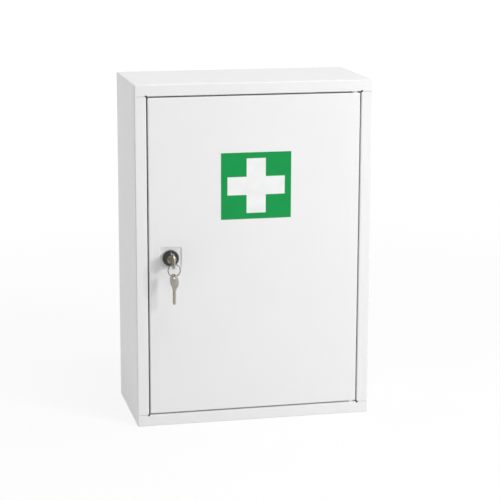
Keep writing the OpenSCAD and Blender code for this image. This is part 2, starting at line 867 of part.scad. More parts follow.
case_wrap();
back_panel();
shelf_upper();
shelf_lower();
cleats_upper();
cleats_lower();
shelf_rivets();
hinge_pin_top();
hinge_pin_bottom();
door_stops();
stop_bumpers();
door_panel();
hinge_bush_top();
hinge_bush_bottom();
sign_field();
sign_cross();
lock_bezel();
lock_housing();
lock_washer();
lock_nut();
lock_plug();
lock_wafers();
lock_cam();
cam_washer();
cam_screw();
door_key();
split_ring();
spare_key();
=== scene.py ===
"""The looks of a lockable wall cabinet for medicines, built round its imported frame.

Each sub-assembly is a class that holds its sizes, builds its meshes and dresses them. The frame
gives the places: X runs to the right, Y runs back to the wall and Z runs up, in metres.
"""

from __future__ import annotations

import json
import logging
import math
from dataclasses import dataclass, field
from enum import Enum
from typing import Callable, Iterable, Sequence, Union

import bmesh
import bpy
from mathutils import Matrix, Vector

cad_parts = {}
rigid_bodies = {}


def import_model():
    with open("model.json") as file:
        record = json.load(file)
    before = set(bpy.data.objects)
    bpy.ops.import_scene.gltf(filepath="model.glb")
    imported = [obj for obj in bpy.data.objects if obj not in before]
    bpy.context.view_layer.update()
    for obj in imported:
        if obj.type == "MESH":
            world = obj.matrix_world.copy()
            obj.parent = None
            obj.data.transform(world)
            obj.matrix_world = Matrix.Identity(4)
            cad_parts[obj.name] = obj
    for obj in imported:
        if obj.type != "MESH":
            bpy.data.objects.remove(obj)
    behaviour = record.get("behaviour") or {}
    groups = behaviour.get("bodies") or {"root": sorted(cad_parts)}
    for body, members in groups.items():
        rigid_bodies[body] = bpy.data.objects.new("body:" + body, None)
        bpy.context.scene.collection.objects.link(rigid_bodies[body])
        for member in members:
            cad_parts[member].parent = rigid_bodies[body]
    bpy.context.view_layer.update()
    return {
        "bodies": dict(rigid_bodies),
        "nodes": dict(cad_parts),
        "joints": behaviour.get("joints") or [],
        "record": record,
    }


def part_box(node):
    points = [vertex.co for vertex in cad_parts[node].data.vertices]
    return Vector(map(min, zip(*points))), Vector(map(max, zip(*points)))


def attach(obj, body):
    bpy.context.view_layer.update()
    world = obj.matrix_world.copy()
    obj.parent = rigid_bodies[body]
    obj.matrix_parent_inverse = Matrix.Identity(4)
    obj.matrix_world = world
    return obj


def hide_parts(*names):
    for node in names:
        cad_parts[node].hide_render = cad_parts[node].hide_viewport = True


LOG = logging.getLogger("cabinet")

MM = 0.001
# Smallest distance that counts as a difference between two places
NEAR = 0.01 * MM
# Edges that turn by more than this are shaded sharp
SHARP_TURN = math.radians(38)
# Edges that turn by more than this are softened
SOFT_TURN = math.radians(35)
# Edges that turn by more than this are folds or corners
FOLD_TURN = math.radians(45)
QUARTER = math.radians(90)
FULL_TURN = math.radians(360)
# Marks the bevelled faces of a piece, where its plating rubs off
WEAR_LAYER = "wear"
# The widest lean of a face that still looks in a direction, as the cosine of the angle
LOOKS = 0.9
# The same for a face that is flat, beside the bevels round it
FLAT = 0.99
# A Mix node's colour sockets, which share their names with its number and vector sockets
MIX_FIRST = 6
MIX_SECOND = 7
MIX_COLOUR = 2

Point = tuple[float, float]
Position = tuple[float, float, float]
Colour = tuple[float, float, float]
Mesh = bmesh.types.BMesh
Vert = bmesh.types.BMVert
Edge = bmesh.types.BMEdge
Face = bmesh.types.BMFace
Socket = bpy.types.NodeSocket
Value = Union[Socket, float, Sequence[float]]
FaceTest = Callable[[Face], bool]
PlaceTest = Callable[[Vector], bool]


class Axis(Enum):
    """The three directions of the frame."""

    X = (1.0, 0.0, 0.0)
    Y = (0.0, 1.0, 0.0)
    Z = (0.0, 0.0, 1.0)

    @property
    def vector(self) -> Vector:
        """The direction as a vector."""
        return Vector(self.value)


class Side(Enum):
    """Left or right, as the sign of X."""

    LEFT = -1
    RIGHT = 1


class End(Enum):
    """Bottom or top, as the sign of Z."""

    BOTTOM = -1
    TOP = 1


class Body(Enum):
    """The bodies of the frame that a piece can ride on."""

    CABINET = "cabinet"
    DOOR = "door"
    LOCK_CORE = "lock_core"
    DOOR_KEY = "door_key"
    KEY_RING = "key_ring"
    SPARE_KEY = "spare_key"


# The signs of X and Z at the four corners of the front or the back
CORNERS = [(side.value, end.value) for side in Side for end in End]


# ---- Finishes ----


def add_node(
    tree: bpy.types.NodeTree, kind: str, inputs: dict[str | int, Value], **settings: str
) -> bpy.types.Node:
    """Adds a shader node.

    Args:
        tree: The tree that takes it.
        kind: Its type, without the ShaderNode in front.
        inputs: A value or another node's output for each input, by name or number.
        settings: Its own settings.

    Returns:
        The node.
    """
    node = tree.nodes.new(f"ShaderNode{kind}")
    for name, setting in settings.items():
        setattr(node, name, setting)
    for key, source in inputs.items():
        if isinstance(source, Socket):
            tree.links.new(source, node.inputs[key])
        else:
            node.inputs[key].default_value = source
    return node


def tint(colour: Sequence[float], factor: float) -> tuple[float, ...]:
    """Scales a colour's brightness, up to white."""
    return tuple(min(channel * factor, 1.0) for channel in colour)


class Shader:
    """A material with one principled surface, whose patterns read Object coordinates."""

    def __init__(self, name: str) -> None:
        """Makes the empty material.

        Args:
            name: The material's name.
        """
        self.material = bpy.data.materials.new(name)
        self.material.use_nodes = True
        self.tree = self.material.node_tree
        self.surface = self.tree.nodes["Principled BSDF"]
        self.place = add_node(self.tree, "TexCoord", {}).outputs["Object"]

    def set(self, **values: float | tuple[float, ...]) -> None:
        """Sets sockets of the surface that are the same all over, named with _ for a space."""
        for name, value in values.items():
            self.surface.inputs[name.replace("_", " ")].default_value = value

    def link(self, source: Socket, socket: str) -> None:
        """Links a pattern to one of the surface's sockets."""
        self.tree.links.new(source, self.surface.inputs[socket])

    def stretched(self, scale: Sequence[float]) -> Socket:
        """The coordinates, stretched by a factor along X, Y and Z."""
        return add_node(self.tree, "Mapping", {"Scale": scale, "Vector": self.place}).outputs["Vector"]

    def noise(self, size: float, detail: float = 2.0, vector: Socket | None = None) -> Socket:
        """Adds a noise pattern.

        Args:
            size: The size of its largest cells, in metres.
            detail: The number of finer layers.
            vector: The coordinates that it reads, or the object's own.

        Returns:
            The pattern, from 0 to 1.
        """
        inputs = {"Scale": 1.0 / size, "Detail": detail, "Vector": vector or self.place}
        return add_node(self.tree, "TexNoise", inputs).outputs["Fac"]

    def spread(
        self, source: Socket, low: float, high: float, start: float = 0.3, end: float = 0.7
    ) -> Socket:
        """Maps a pattern's middle range to the range of a value.

        Args:
            source: The pattern.
            low: The value at and below start.
            high: The value at and above end.
            start: Where the pattern's range starts.
            end: Where the pattern's range ends.

        Returns:
            The value over the surface.
        """
        inputs = {"Value": source, "From Min": start, "From Max": end, "To Min": low, "To Max": high}
        return add_node(self.tree, "MapRange", inputs).outputs["Result"]

    def blend(self, factor: Socket, first: Socket | Sequence[float], second: Sequence[float]) -> Socket:
        """Mixes two colours by a pattern.

        Args:
            factor: The pattern, 0 for the first colour and 1 for the second.
            first: Red, green and blue of the first colour, or a pattern of colours.
            second: Red, green and blue of the second colour.

        Returns:
            The colour over the surface.
        """
        start = first if isinstance(first, Socket) else (*first, 1.0)
        inputs = {0: factor, MIX_FIRST: start, MIX_SECOND: (*second, 1.0)}
        return add_node(self.tree, "Mix", inputs, data_type="RGBA").outputs[MIX_COLOUR]

    def product(self, first: Socket, second: Socket) -> Socket:
        """Multiplies two patterns."""
        return add_node(self.tree, "Math", {0: first, 1: second}, operation="MULTIPLY").outputs["Value"]

    def attribute(self, name: str) -> Socket:
        """Reads an attribute of the mesh as a value."""
        return add_node(self.tree, "Attribute", {}, attribute_name=name).outputs["Fac"]

    def bump(self, height: Socket, depth: float) -> None:
        """Raises the surface by a pattern, whose full range is depth in metres."""
        node = add_node(self.tree, "Bump", {"Distance": depth, "Strength": 1.0, "Height": height})
        self.link(node.outputs["Normal"], "Normal")


@dataclass(frozen=True)
class Finish:
    """How a surface looks. Each kind adds its own patterns."""

    name: str
    slot: str
    colour: Colour
    roughness: float

    def material(self) -> bpy.types.Material:
        """Makes the material once and hands it out from then on.

        Returns:
            The material.
        """
        if self.name not in bpy.data.materials:
            self.paint(Shader(self.name))
        return bpy.data.materials[self.name]

    def paint(self, shader: Shader) -> None:
        """Adds the finish's patterns to a new material."""
        raise NotImplementedError

    def mottle(
        self, shader: Shader, size: float, darkest: float, lightest: float, detail: float = 4.0
    ) -> None:
        """Varies the brightness of the colour in soft patches.

        Args:
            shader: The new material.
            size: The patches' size.
            darkest: The factor of the darkest patches.
            lightest: The factor of the lightest patches.
            detail: The number of finer layers.
        """
        patches = shader.spread(shader.noise(size, detail), 0.0, 1.0)
        ends = tint(self.colour, darkest), tint(self.colour, lightest)
        shader.link(shader.blend(patches, *ends), "Base Color")

    def vary_gloss(self, shader: Shader, pattern: Socket, drop: float, rise: float) -> None:
        """Varies the roughness by a pattern.

        Args:
            shader: The new material.
            pattern: The pattern.
            drop: How far the roughness falls.
            rise: How far it rises.
        """
        shader.link(shader.spread(pattern, self.roughness - drop, self.roughness + rise), "Roughness")


@dataclass(frozen=True)
class PowderCoat(Finish):
    """Baked paint with a fine orange-peel texture."""

    cloud: float = 90 * MM
    gloss_patch: float = 14 * MM
    peel: float = 1.5 * MM
    peel_depth: float = 0.005 * MM

    def paint(self, shader: Shader) -> None:
        """Adds the orange peel, a faint unevenness of the white and a satin gloss.

        Args:
            shader: The new material.
        """
        self.mottle(shader, self.cloud, darkest=0.985, lightest=1.0, detail=2.0)
        self.vary_gloss(shader, shader.noise(self.gloss_patch, detail=3.0), drop=0.03, rise=0.04)
        shader.bump(shader.noise(self.peel, detail=1.0), self.peel_depth)


@dataclass(frozen=True)
class Vinyl(Finish):
    """Self-adhesive film, which takes up some of the paint's texture."""

    gloss: float = 0.25
    cloud: float = 22 * MM
    gloss_patch: float = 6 * MM
    peel: float = 1.6 * MM
    peel_depth: float = 0.008 * MM

    def paint(self, shader: Shader) -> None:
        """Adds the film's faint mottle and the paint's peel under it.

        Args:
            shader: The new material.
        """
        shader.set(Specular_IOR_Level=self.gloss)
        self.mottle(shader, self.cloud, darkest=0.94, lightest=1.03)
        self.vary_gloss(shader, shader.noise(self.gloss_patch), drop=0.05, rise=0.05)
        shader.bump(shader.noise(self.peel, detail=1.0), self.peel_depth)


@dataclass(frozen=True)
class Plating(Finish):
    """Plated metal with a faint grain and cloudy patches."""

    grain: tuple[float, float, float] = (1.0, 1.0, 1.0)
    grain_size: float = 0.5 * MM
    grain_depth: float = 0.004 * MM
    grain_detail: float = 3.0
    gloss_rise: float = 0.08
    gloss_drop: float = 0.06
    second: Colour | None = None
    second_tint: float = 0.86
    patch: float = 5 * MM

    def plated(self, shader: Shader) -> Socket:
        """The plating's colour, in patches of its two tones."""
        cloud = shader.spread(shader.noise(self.patch, detail=4.0), 0.0, 1.0, start=0.35, end=0.65)
        return shader.blend(cloud, self.colour, self.second or tint(self.colour, self.second_tint))

    def paint(self, shader: Shader) -> None:
        """Adds the patches of tone, the uneven gloss and the grain.

        Args:
            shader: The new material.
        """
        shader.set(Metallic=1.0)
        shader.link(self.plated(shader), "Base Color")
        grain = shader.noise(self.grain_size, self.grain_detail, shader.stretched(self.grain))
        self.vary_gloss(shader, grain, self.gloss_drop, self.gloss_rise)
        shader.bump(grain, self.grain_depth)


@dataclass(frozen=True)
class WornPlating(Plating):
    """Scratched plating that has rubbed off at the edges, where the metal under it shows."""

    base: Colour = (0.6, 0.42, 0.17)
    wear: float = 0.5
    wear_patch: float = 0.9 * MM

    def plated(self, shader: Shader) -> Socket:
        """The plating's colour, with the metal under it at the rubbed edges.

        Args:
            shader: The new material.

        Returns:
            The colour over the surface.
        """
        patches = shader.noise(self.wear_patch, detail=4.0)
        broken = shader.spread(patches, 0.0, self.wear, start=0.42, end=0.6)
        rubbed = shader.product(shader.attribute(WEAR_LAYER), broken)
        return shader.blend(rubbed, super().plated(shader), self.base)


@dataclass(frozen=True)
class Polymer(Finish):
    """Moulded nylon or rubber."""

    cloud: float = 3 * MM
    speck: float = 0.4 * MM
    speck_depth: float = 0.01 * MM
    scatter: float = 0.0
    scatter_reach: float = 1.0 * MM

    def paint(self, shader: Shader) -> None:
        """Adds the moulded grain and, in nylon, a little scatter.

        Args:
            shader: The new material.
        """
        shader.set(Subsurface_Weight=self.scatter, Subsurface_Scale=self.scatter_reach)
        self.mottle(shader, self.cloud, darkest=0.9, lightest=1.05)
        grain = shader.noise(self.speck)
        self.vary_gloss(shader, grain, drop=0.05, rise=0.05)
        shader.bump(grain, self.speck_depth)


WHITE_PAINT = PowderCoat("white_powder_coat", "powder_coat", (0.85, 0.85, 0.85), 0.34)
GREEN_FILM = Vinyl("green_vinyl", "sign_green", (0.002, 0.30, 0.066), 0.38)
WHITE_FILM = Vinyl("white_vinyl", "sign_white", (0.88, 0.89, 0.88), 0.38)
BLACK_NICKEL = Plating(
    "black_nickel_plate", "black_nickel", (0.055, 0.055, 0.057), 0.12, grain_depth=0.0004 * MM
)
DIE_CASTING = Plating(
    "die_cast_zinc", "die_cast", (0.42, 0.42, 0.43), 0.42, grain_size=0.7 * MM, grain_depth=0.02 * MM
)
BRIGHT_ZINC = Plating(
    "bright_zinc_plate", "zinc_steel", (0.66, 0.68, 0.71), 0.36, second=(0.67, 0.66, 0.61), patch=4 * MM
)
RIVET_STEEL = Plating("drawn_rivet_steel", "rivet_steel", (0.62, 0.62, 0.63), 0.36)
LOCK_NICKEL = Plating(
    "lock_nickel",
    "nickel",
    (0.46, 0.43, 0.36),
    0.18,
    grain_size=0.3 * MM,
    second=(0.25, 0.23, 0.18),
    patch=3 * MM,
)
KEY_NICKEL = WornPlating(
    "key_nickel",
    "nickel",
    (0.46, 0.43, 0.37),
    0.35,
    grain=(1.0, 1.0, 0.12),
    grain_size=0.35 * MM,
    grain_detail=5.0,
    gloss_rise=0.12,
)
RING_STEEL = Plating("dark_spring_steel", "ring_steel", (0.27, 0.27, 0.28), 0.2, grain_size=0.3 * MM)
STAMPED_BRASS = Plating("stamped_brass", "brass", (0.66, 0.45, 0.16), 0.36)
NATURAL_NYLON = Polymer("natural_nylon", "nylon", (0.80, 0.80, 0.76), 0.45, scatter=0.15)
BLACK_RUBBER = Polymer("black_rubber", "rubber", (0.02, 0.02, 0.02), 0.75, speck=0.25 * MM)


# ---- Working the meshes ----


def middle(item: Edge | Face) -> Vector:
    """The middle of an edge or a face."""
    verts = item.verts
    return item.calc_center_median() if isinstance(item, Face) else (verts[0].co + verts[1].co) / 2


def looks(face: Face, direction: Vector, least: float = LOOKS) -> bool:
    """True for a face that looks in a direction, to the cosine that least gives."""
    return face.normal.dot(direction) > least


def turn_at(edge: Edge) -> float:
    """The angle that the surface turns by at an edge, and 0 at a free edge."""
    return edge.calc_face_angle(0.0)


def ends_of(items: Iterable[Edge | Face]) -> list[Vert]:
    """The vertices of some edges or faces, each once."""
    return list(dict.fromkeys(vert for item in items for vert in item.verts))


def edges_of(faces: Iterable[Face]) -> list[Edge]:
    """The edges of some faces, each once."""
    return list(dict.fromkeys(edge for face in faces for edge in face.edges))


def only(kind: type, items: Iterable) -> list:
    """The items of one kind, out of what an operator hands back."""
    return [item for item in items if isinstance(item, kind)]


def merge(bm: Mesh) -> None:
    """Merges the vertices that lie in one place."""
    bmesh.ops.remove_doubles(bm, verts=bm.verts[:], dist=NEAR)


def face_outwards(bm: Mesh) -> None:
    """Turns every face of a closed mesh the right way out."""
    bmesh.ops.recalc_face_normals(bm, faces=bm.faces[:])


def bevel(bm: Mesh, edges: Sequence[Edge], width: float, segments: int, clamp: bool = True) -> list[Face]:
    """Bevels some edges.

    Args:
        bm: The mesh.
        edges: The edges.
        width: The bevel's width, in metres.
        segments: The number of faces across it.
        clamp: Whether it stops where it meets another.

    Returns:
        The new faces.
    """
    return bmesh.ops.bevel(
        bm,
        geom=list(edges) + ends_of(edges),
        offset=width,
        offset_type="OFFSET",
        segments=segments,
        profile=0.5,
        affect="EDGES",
        clamp_overlap=clamp,
        material=-1,
    )["faces"]


def soften(bm: Mesh, width: float, segments: int = 2, edges: Sequence[Edge] | None = None) -> None:
    """Bevels the edges that turn sharply, and marks the new faces for wear.

    Args:
        bm: The mesh.
        width: The bevel's width, in metres.
        segments: The number of faces across it.
        edges: The edges to choose from, or all of them.
    """
    chosen = [edge for edge in (bm.edges if edges is None else edges) if turn_at(edge) > SOFT_TURN]
    rounded = bevel(bm, chosen, width, segments)
    wear = bm.loops.layers.float.get(WEAR_LAYER) or bm.loops.layers.float.new(WEAR_LAYER)
    for face in rounded:
        if face.is_valid:
            for loop in face.loops:
                loop[wear] = 1.0


def split(
    bm: Mesh, at: Vector, normal: Vector, faces: Sequence[Face] | None = None, clear: bool = False
) -> None:
    """Divides faces by a plane.

    Args:
        bm: The mesh.
        at: A point on the plane.
        normal: The plane's normal.
        faces: The faces to divide, or all of them.
        clear: Whether everything beyond the plane goes.
    """
    chosen = list(bm.faces if faces is None else faces)
    bmesh.ops.bisect_plane(
        bm,
        geom=chosen + edges_of(chosen) + ends_of(chosen),
        dist=NEAR / 10,
        plane_co=at,
        plane_no=normal,
        clear_outer=clear,
    )


def spin(
    bm: Mesh,
    geom: Sequence,
    centre: Vector,
    axis: Vector,
    angle: float,
    steps: int,
    climb: Vector | None = None,
    closed: bool = False,
) -> list:
    """Spins some geometry on about an axis.

    Args:
        bm: The mesh.
        geom: What is spun.
        centre: A point on the axis.
        axis: The axis.
        angle: The whole angle.
        steps: The number of steps.
        climb: How far each step moves on, or none.
        closed: Whether the end meets the start.

    Returns:
        The geometry that it ends in.
    """
    return bmesh.ops.spin(
        bm,
        geom=list(geom),
        cent=centre,
        axis=axis,
        dvec=climb or Vector(),
        angle=angle,
        steps=steps,
        use_merge=closed,
        use_duplicate=False,
    )["geom_last"]


def lathe(bm: Mesh, outline: Sequence[Point], place: Matrix, steps: int) -> None:
    """Spins an outline about the local Z axis into a closed shape.

    Args:
        bm: The mesh that takes the new shape.
        outline: Points as radius and height, closed, or with both ends on the axis.
        place: Where the local axes lie.
        steps: The number of faces round the shape.
    """
    verts = [bm.verts.new(place @ Vector((radius, 0.0, height))) for radius, height in outline]
    edges = [bm.edges.new(pair) for pair in zip(verts, verts[1:])]
    axis = place.to_3x3() @ Axis.Z.vector
    spin(bm, verts + edges, place.translation, axis, FULL_TURN, steps, closed=True)
    merge(bm)
    face_outwards(bm)


def turned(
    outline: Sequence[Point], places: Sequence[Matrix], steps: int, edge: float = 0.0, segments: int = 2
) -> Mesh:
    """Turns one shape, once at each place.

    Args:
        outline: Points as radius and height, closed, or with both ends on the axis.
        places: Where the local axes of each copy lie.
        steps: The number of faces round it.
        edge: The width of its softened edges, or 0 for none.
        segments: The number of faces across them.

    Returns:
        The mesh.
    """
    bm = bmesh.new()
    for place in places:
        lathe(bm, outline, place, steps)
    if edge:
        soften(bm, edge, segments)
    return bm


def ring(inner: float, outer: float, length: float) -> list[Point]:
    """The closed outline of a tube that starts at height 0, for the lathe."""
    return [(inner, 0.0), (outer, 0.0), (outer, length), (inner, length), (inner, 0.0)]


def domed_head(radius: float, height: float, top: float, dome: Sequence[Point]) -> list[Point]:
    """The outline of a domed head, from the underside of its rim to the axis.

    Args:
        radius: The head's radius.
        height: Its height.
        top: Where its top is.
        dome: Points of the dome, as a share of the radius and of the height below the top.

    Returns:
        The points.
    """
    crown = [(radius * out, top - height * down) for out, down in dome]
    return [(radius, top - height), *crown, (0.0, top)]


def arc(centre: Point, radius: float, start: float, end: float, steps: int) -> list[Point]:
    """Points along an arc.

    Args:
        centre: The arc's centre.
        radius: Its radius.
        start: The angle of its first point, in degrees.
        end: The angle of its last point, in degrees.
        steps: The number of straight stretches.

    Returns:
        The points, both ends included.
    """
    angles = [math.radians(start + (end - start) * step / steps) for step in range(steps + 1)]
    return [(centre[0] + radius * math.cos(a), centre[1] + radius * math.sin(a)) for a in angles]


def cut_plate(outlines: Sequence[Sequence[Point]], thickness: float, place: Matrix) -> Mesh:
    """Makes a flat plate with holes, centred on the local XY plane.

    Args:
        outlines: The plate's outline, then the outline of each hole.
        thickness: The plate's thickness.
        place: Where the local axes lie.

    Returns:
        The mesh.
    """
    bm = bmesh.new()
    lowered = place @ Matrix.Translation((0.0, 0.0, -thickness / 2))
    edges = []
    for points in outlines:
        verts = [bm.verts.new(lowered @ Vector((x, y, 0.0))) for x, y in points]
        edges += [bm.edges.new(pair) for pair in zip(verts, verts[1:] + verts[:1])]
    filled = bmesh.ops.triangle_fill(bm, edges=edges, use_beauty=True, use_dissolve=False)["geom"]
    grown = bmesh.ops.extrude_face_region(bm, geom=only(Face, filled))["geom"]
    up = place.to_3x3() @ Vector((0.0, 0.0, thickness))
    bmesh.ops.translate(bm, vec=up, verts=only(Vert, grown))
    face_outwards(bm)
    return bm


def sink(bm: Mesh, floor: Sequence[Face]) -> list[Vert]:
    """Gives some faces of a closed mesh a new floor, at first in the same place.

    Args:
        bm: The mesh.
        floor: The faces.

    Returns:
        The new floor's vertices, to be moved down.
    """
    grown = bmesh.ops.extrude_face_region(bm, geom=list(floor))["geom"]
    bmesh.ops.delete(bm, geom=[face for face in floor if face.is_valid], context="FACES")
    return only(Vert, grown)


def centre_of(node: str) -> Vector:
    """The middle of a node's box."""
    low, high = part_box(node)
    return (low + high) / 2


def size_of(node: str) -> Vector:
    """The size of a node's box."""
    low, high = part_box(node)
    return high - low


def make_piece(bm: Mesh, name: str, body: Body, finish: Finish, *nodes: str) -> bpy.types.Object:
    """Turns a mesh into a piece that rides on its body in its finish.

    Args:
        bm: The mesh, in the frame's own place. It is freed.
        name: The piece's name.
        body: The body that it rides on.
        finish: Its finish.
        nodes: The nodes that it stands for.

    Returns:
        The piece.
    """
    for face in bm.faces:
        face.smooth = True
    for edge in bm.edges:
        edge.smooth = turn_at(edge) < SHARP_TURN
    mesh = bpy.data.meshes.new(name)
    bm.to_mesh(mesh)
    bm.free()
    mesh.materials.append(finish.material())
    piece = bpy.data.objects.new(name, mesh)
    bpy.context.scene.collection.objects.link(piece)
    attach(piece, body.value)
    if nodes:
        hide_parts(*nodes)
    LOG.info("%s: %d faces on %s", name, len(mesh.polygons), body.value)
    return piece


def even_shading(piece: bpy.types.Object) -> None:
    """Keeps wide flat faces flat beside narrow round ones."""
    shading = piece.modifiers.new("even_shading", "WEIGHTED_NORMAL")
    shading.keep_sharp = True


def finish_piece(bm: Mesh, name: str, body: Body, finish: Finish, *nodes: str) -> None:
    """Makes a piece that needs no more than even shading."""
    even_shading(make_piece(bm, name, body, finish, *nodes))


def dress_node(frame: dict, node: str, finish: Finish) -> None:
    """Gives a carried-over node its finish.

    Args:
        frame: The loaded frame.
        node: The node's name.
        finish: Its finish.
    """
    mesh = frame["nodes"][node].data
    mesh.materials.clear()
    mesh.materials.append(finish.material())
    LOG.info("%s: kept, in %s", node, finish.name)


@dataclass
class SheetMetal:
    """A folded sheet, drawn as its outer surface and given its thickness at the end."""

    thickness: float = 0.8 * MM
    bend_steps: int = 5
    deburr: float = 0.12 * MM
    deburr_turn: float = math.radians(50)
    hole_cuts: int = 7
    bm: Mesh = field(default_factory=bmesh.new)

    def box(self, low: Vector, high: Vector, open_towards: Vector) -> None:
        """Draws a box that is open on one side.

        Args:
            low: Its lowest corner.
            high: Its highest corner.
            open_towards: The direction of the open side.
        """
        size = high - low
        place = Matrix.Translation((low + high) / 2) @ Matrix.Diagonal((*size, 1.0))
        bmesh.ops.create_cube(self.bm, size=1.0, matrix=place)
        self.bm.normal_update()
        self.cut_out(lambda face: looks(face, open_towards))

    def strip(self, start: Vector, end: Vector, width: Vector) -> list[Edge]:
        """Draws a flat strip.

        Args:
            start: One end of its first edge.
            end: The other end of its first edge.
            width: From its first edge to its last one.

        Returns:
            The last edge, in a list.
        """
        first = self.bm.edges.new([self.bm.verts.new(start), self.bm.verts.new(end)])
        return self.extend([first], width)

    def score(self, axis: Axis, at: float, where: FaceTest) -> None:
        """Divides the faces of one region by a plane across an axis."""
        faces = [face for face in self.bm.faces if where(face)]
        split(self.bm, axis.vector * at, axis.vector, faces)

    def score_pair(self, axis: Axis, centre: float, half: float, where: FaceTest) -> None:
        """Divides the faces of one region by two planes at equal distances from a centre."""
        for sign in (-1, 1):
            self.score(axis, centre + sign * half, where)

    def cut_out(self, where: FaceTest) -> None:
        """Removes the faces of one region."""
        gone = [face for face in self.bm.faces if where(face)]
        bmesh.ops.delete(self.bm, geom=gone, context="FACES")

    def edges_where(self, test: PlaceTest) -> list[Edge]:
        """Finds the edges whose middle and both ends lie in one region.

        Args:
            test: Whether a point lies in the region.

        Returns:
            The edges.
        """
        return [
            edge
            for edge in self.bm.edges
            if test(middle(edge)) and all(test(vert.co) for vert in edge.verts)
        ]

    def fold(self, edges: Sequence[Edge], pivot: Vector, axis: Vector, angle: float) -> list[Edge]:
        """Folds the sheet on from some free edges.

        Args:
            edges: The free edges.
            pivot: A point on the fold's axis.
            axis: The fold's axis.
            angle: The angle that it turns by.

        Returns:
            The new free edges.
        """
        geom = list(edges) + ends_of(edges)
        return only(Edge, spin(self.bm, geom, pivot, axis, angle, self.bend_steps))

    def extend(self, edges: Sequence[Edge], by: Vector) -> list[Edge]:
        """Extends the sheet straight on from some free edges.

        Args:
            edges: The free edges.
            by: How far, and which way.

        Returns:
            The new free edges.
        """
        grown = bmesh.ops.extrude_edge_only(self.bm, edges=list(edges))["geom"]
        bmesh.ops.translate(self.bm, vec=by, verts=only(Vert, grown))
        return only(Edge, grown)

    def round_folds(self, radius: float, where: PlaceTest = lambda at: True) -> None:
        """Rounds the sharp folds of one region.

        Args:
            radius: The folds' outer radius.
            where: Whether the middle of a fold lies in the region.
        """
        folds = [edge for edge in self.bm.edges if turn_at(edge) > FOLD_TURN and where(middle(edge))]
        bevel(self.bm, folds, radius, self.bend_steps, clamp=False)
        bmesh.ops.remove_doubles(self.bm, verts=self.bm.verts[:], dist=self.deburr / 4)

    def hole(self, axis: Axis, centre: Vector, radius: float, cell: float, where: FaceTest) -> None:
        """Drills a round hole through a flat region.

        Args:
            axis: The normal of the region.
            centre: The hole's centre.
            radius: Its radius.
            cell: The side of the square round it that is remeshed.
            where: The faces of the region.
        """
        across = [other for other in Axis if other is not axis]
        for other in across:
            self.score_pair(other, centre.dot(other.vector), cell / 2, where)

        def in_cell(face: Face) -> bool:
            """True for the square face round the hole."""
            away = middle(face) - centre
            return where(face) and all(abs(away.dot(other.vector)) < NEAR for other in across)

        square = next(face for face in self.bm.faces if in_cell(face))
        bmesh.ops.subdivide_edges(self.bm, edges=list(square.edges), cuts=self.hole_cuts, use_grid_fill=False)
        square = next(face for face in self.bm.faces if in_cell(face))
        border = list(square.edges)
        bmesh.ops.delete(self.bm, geom=[square], context="FACES_ONLY")
        rim = bmesh.ops.extrude_edge_only(self.bm, edges=border)["geom"]
        for vert in only(Vert, rim):
            away = vert.co - centre
            away -= axis.vector * away.dot(axis.vector)
            vert.co += away.normalized() * radius - away

    def outwards(self, probe: Vector) -> None:
        """Turns every face the right way out.

        Args:
            probe: A direction in which the surface's furthest face must point.
        """
        face_outwards(self.bm)
        furthest = max(self.bm.faces, key=lambda face: middle(face).dot(probe))
        if furthest.normal.dot(probe) < 0:
            bmesh.ops.reverse_faces(self.bm, faces=self.bm.faces[:])

    def finish(self, name: str, body: Body, finish: Finish, *nodes: str) -> None:
        """Gives the sheet its thickness and deburred edges, and finishes the piece.

        Args:
            name: The piece's name.
            body: The body that it rides on.
            finish: Its finish.
            nodes: The nodes that it stands for.
        """
        piece = make_piece(self.bm, name, body, finish, *nodes)
        solid = piece.modifiers.new("thickness", "SOLIDIFY")
        solid.thickness = self.thickness
        solid.offset = -1.0
        solid.use_even_offset = True
        edges = piece.modifiers.new("deburred", "BEVEL")
        edges.width = self.deburr
        edges.segments = 2
        edges.limit_method = "ANGLE"
        edges.angle_limit = self.deburr_turn
        edges.use_clamp_overlap = True
        even_shading(piece)


# ---- Case ----


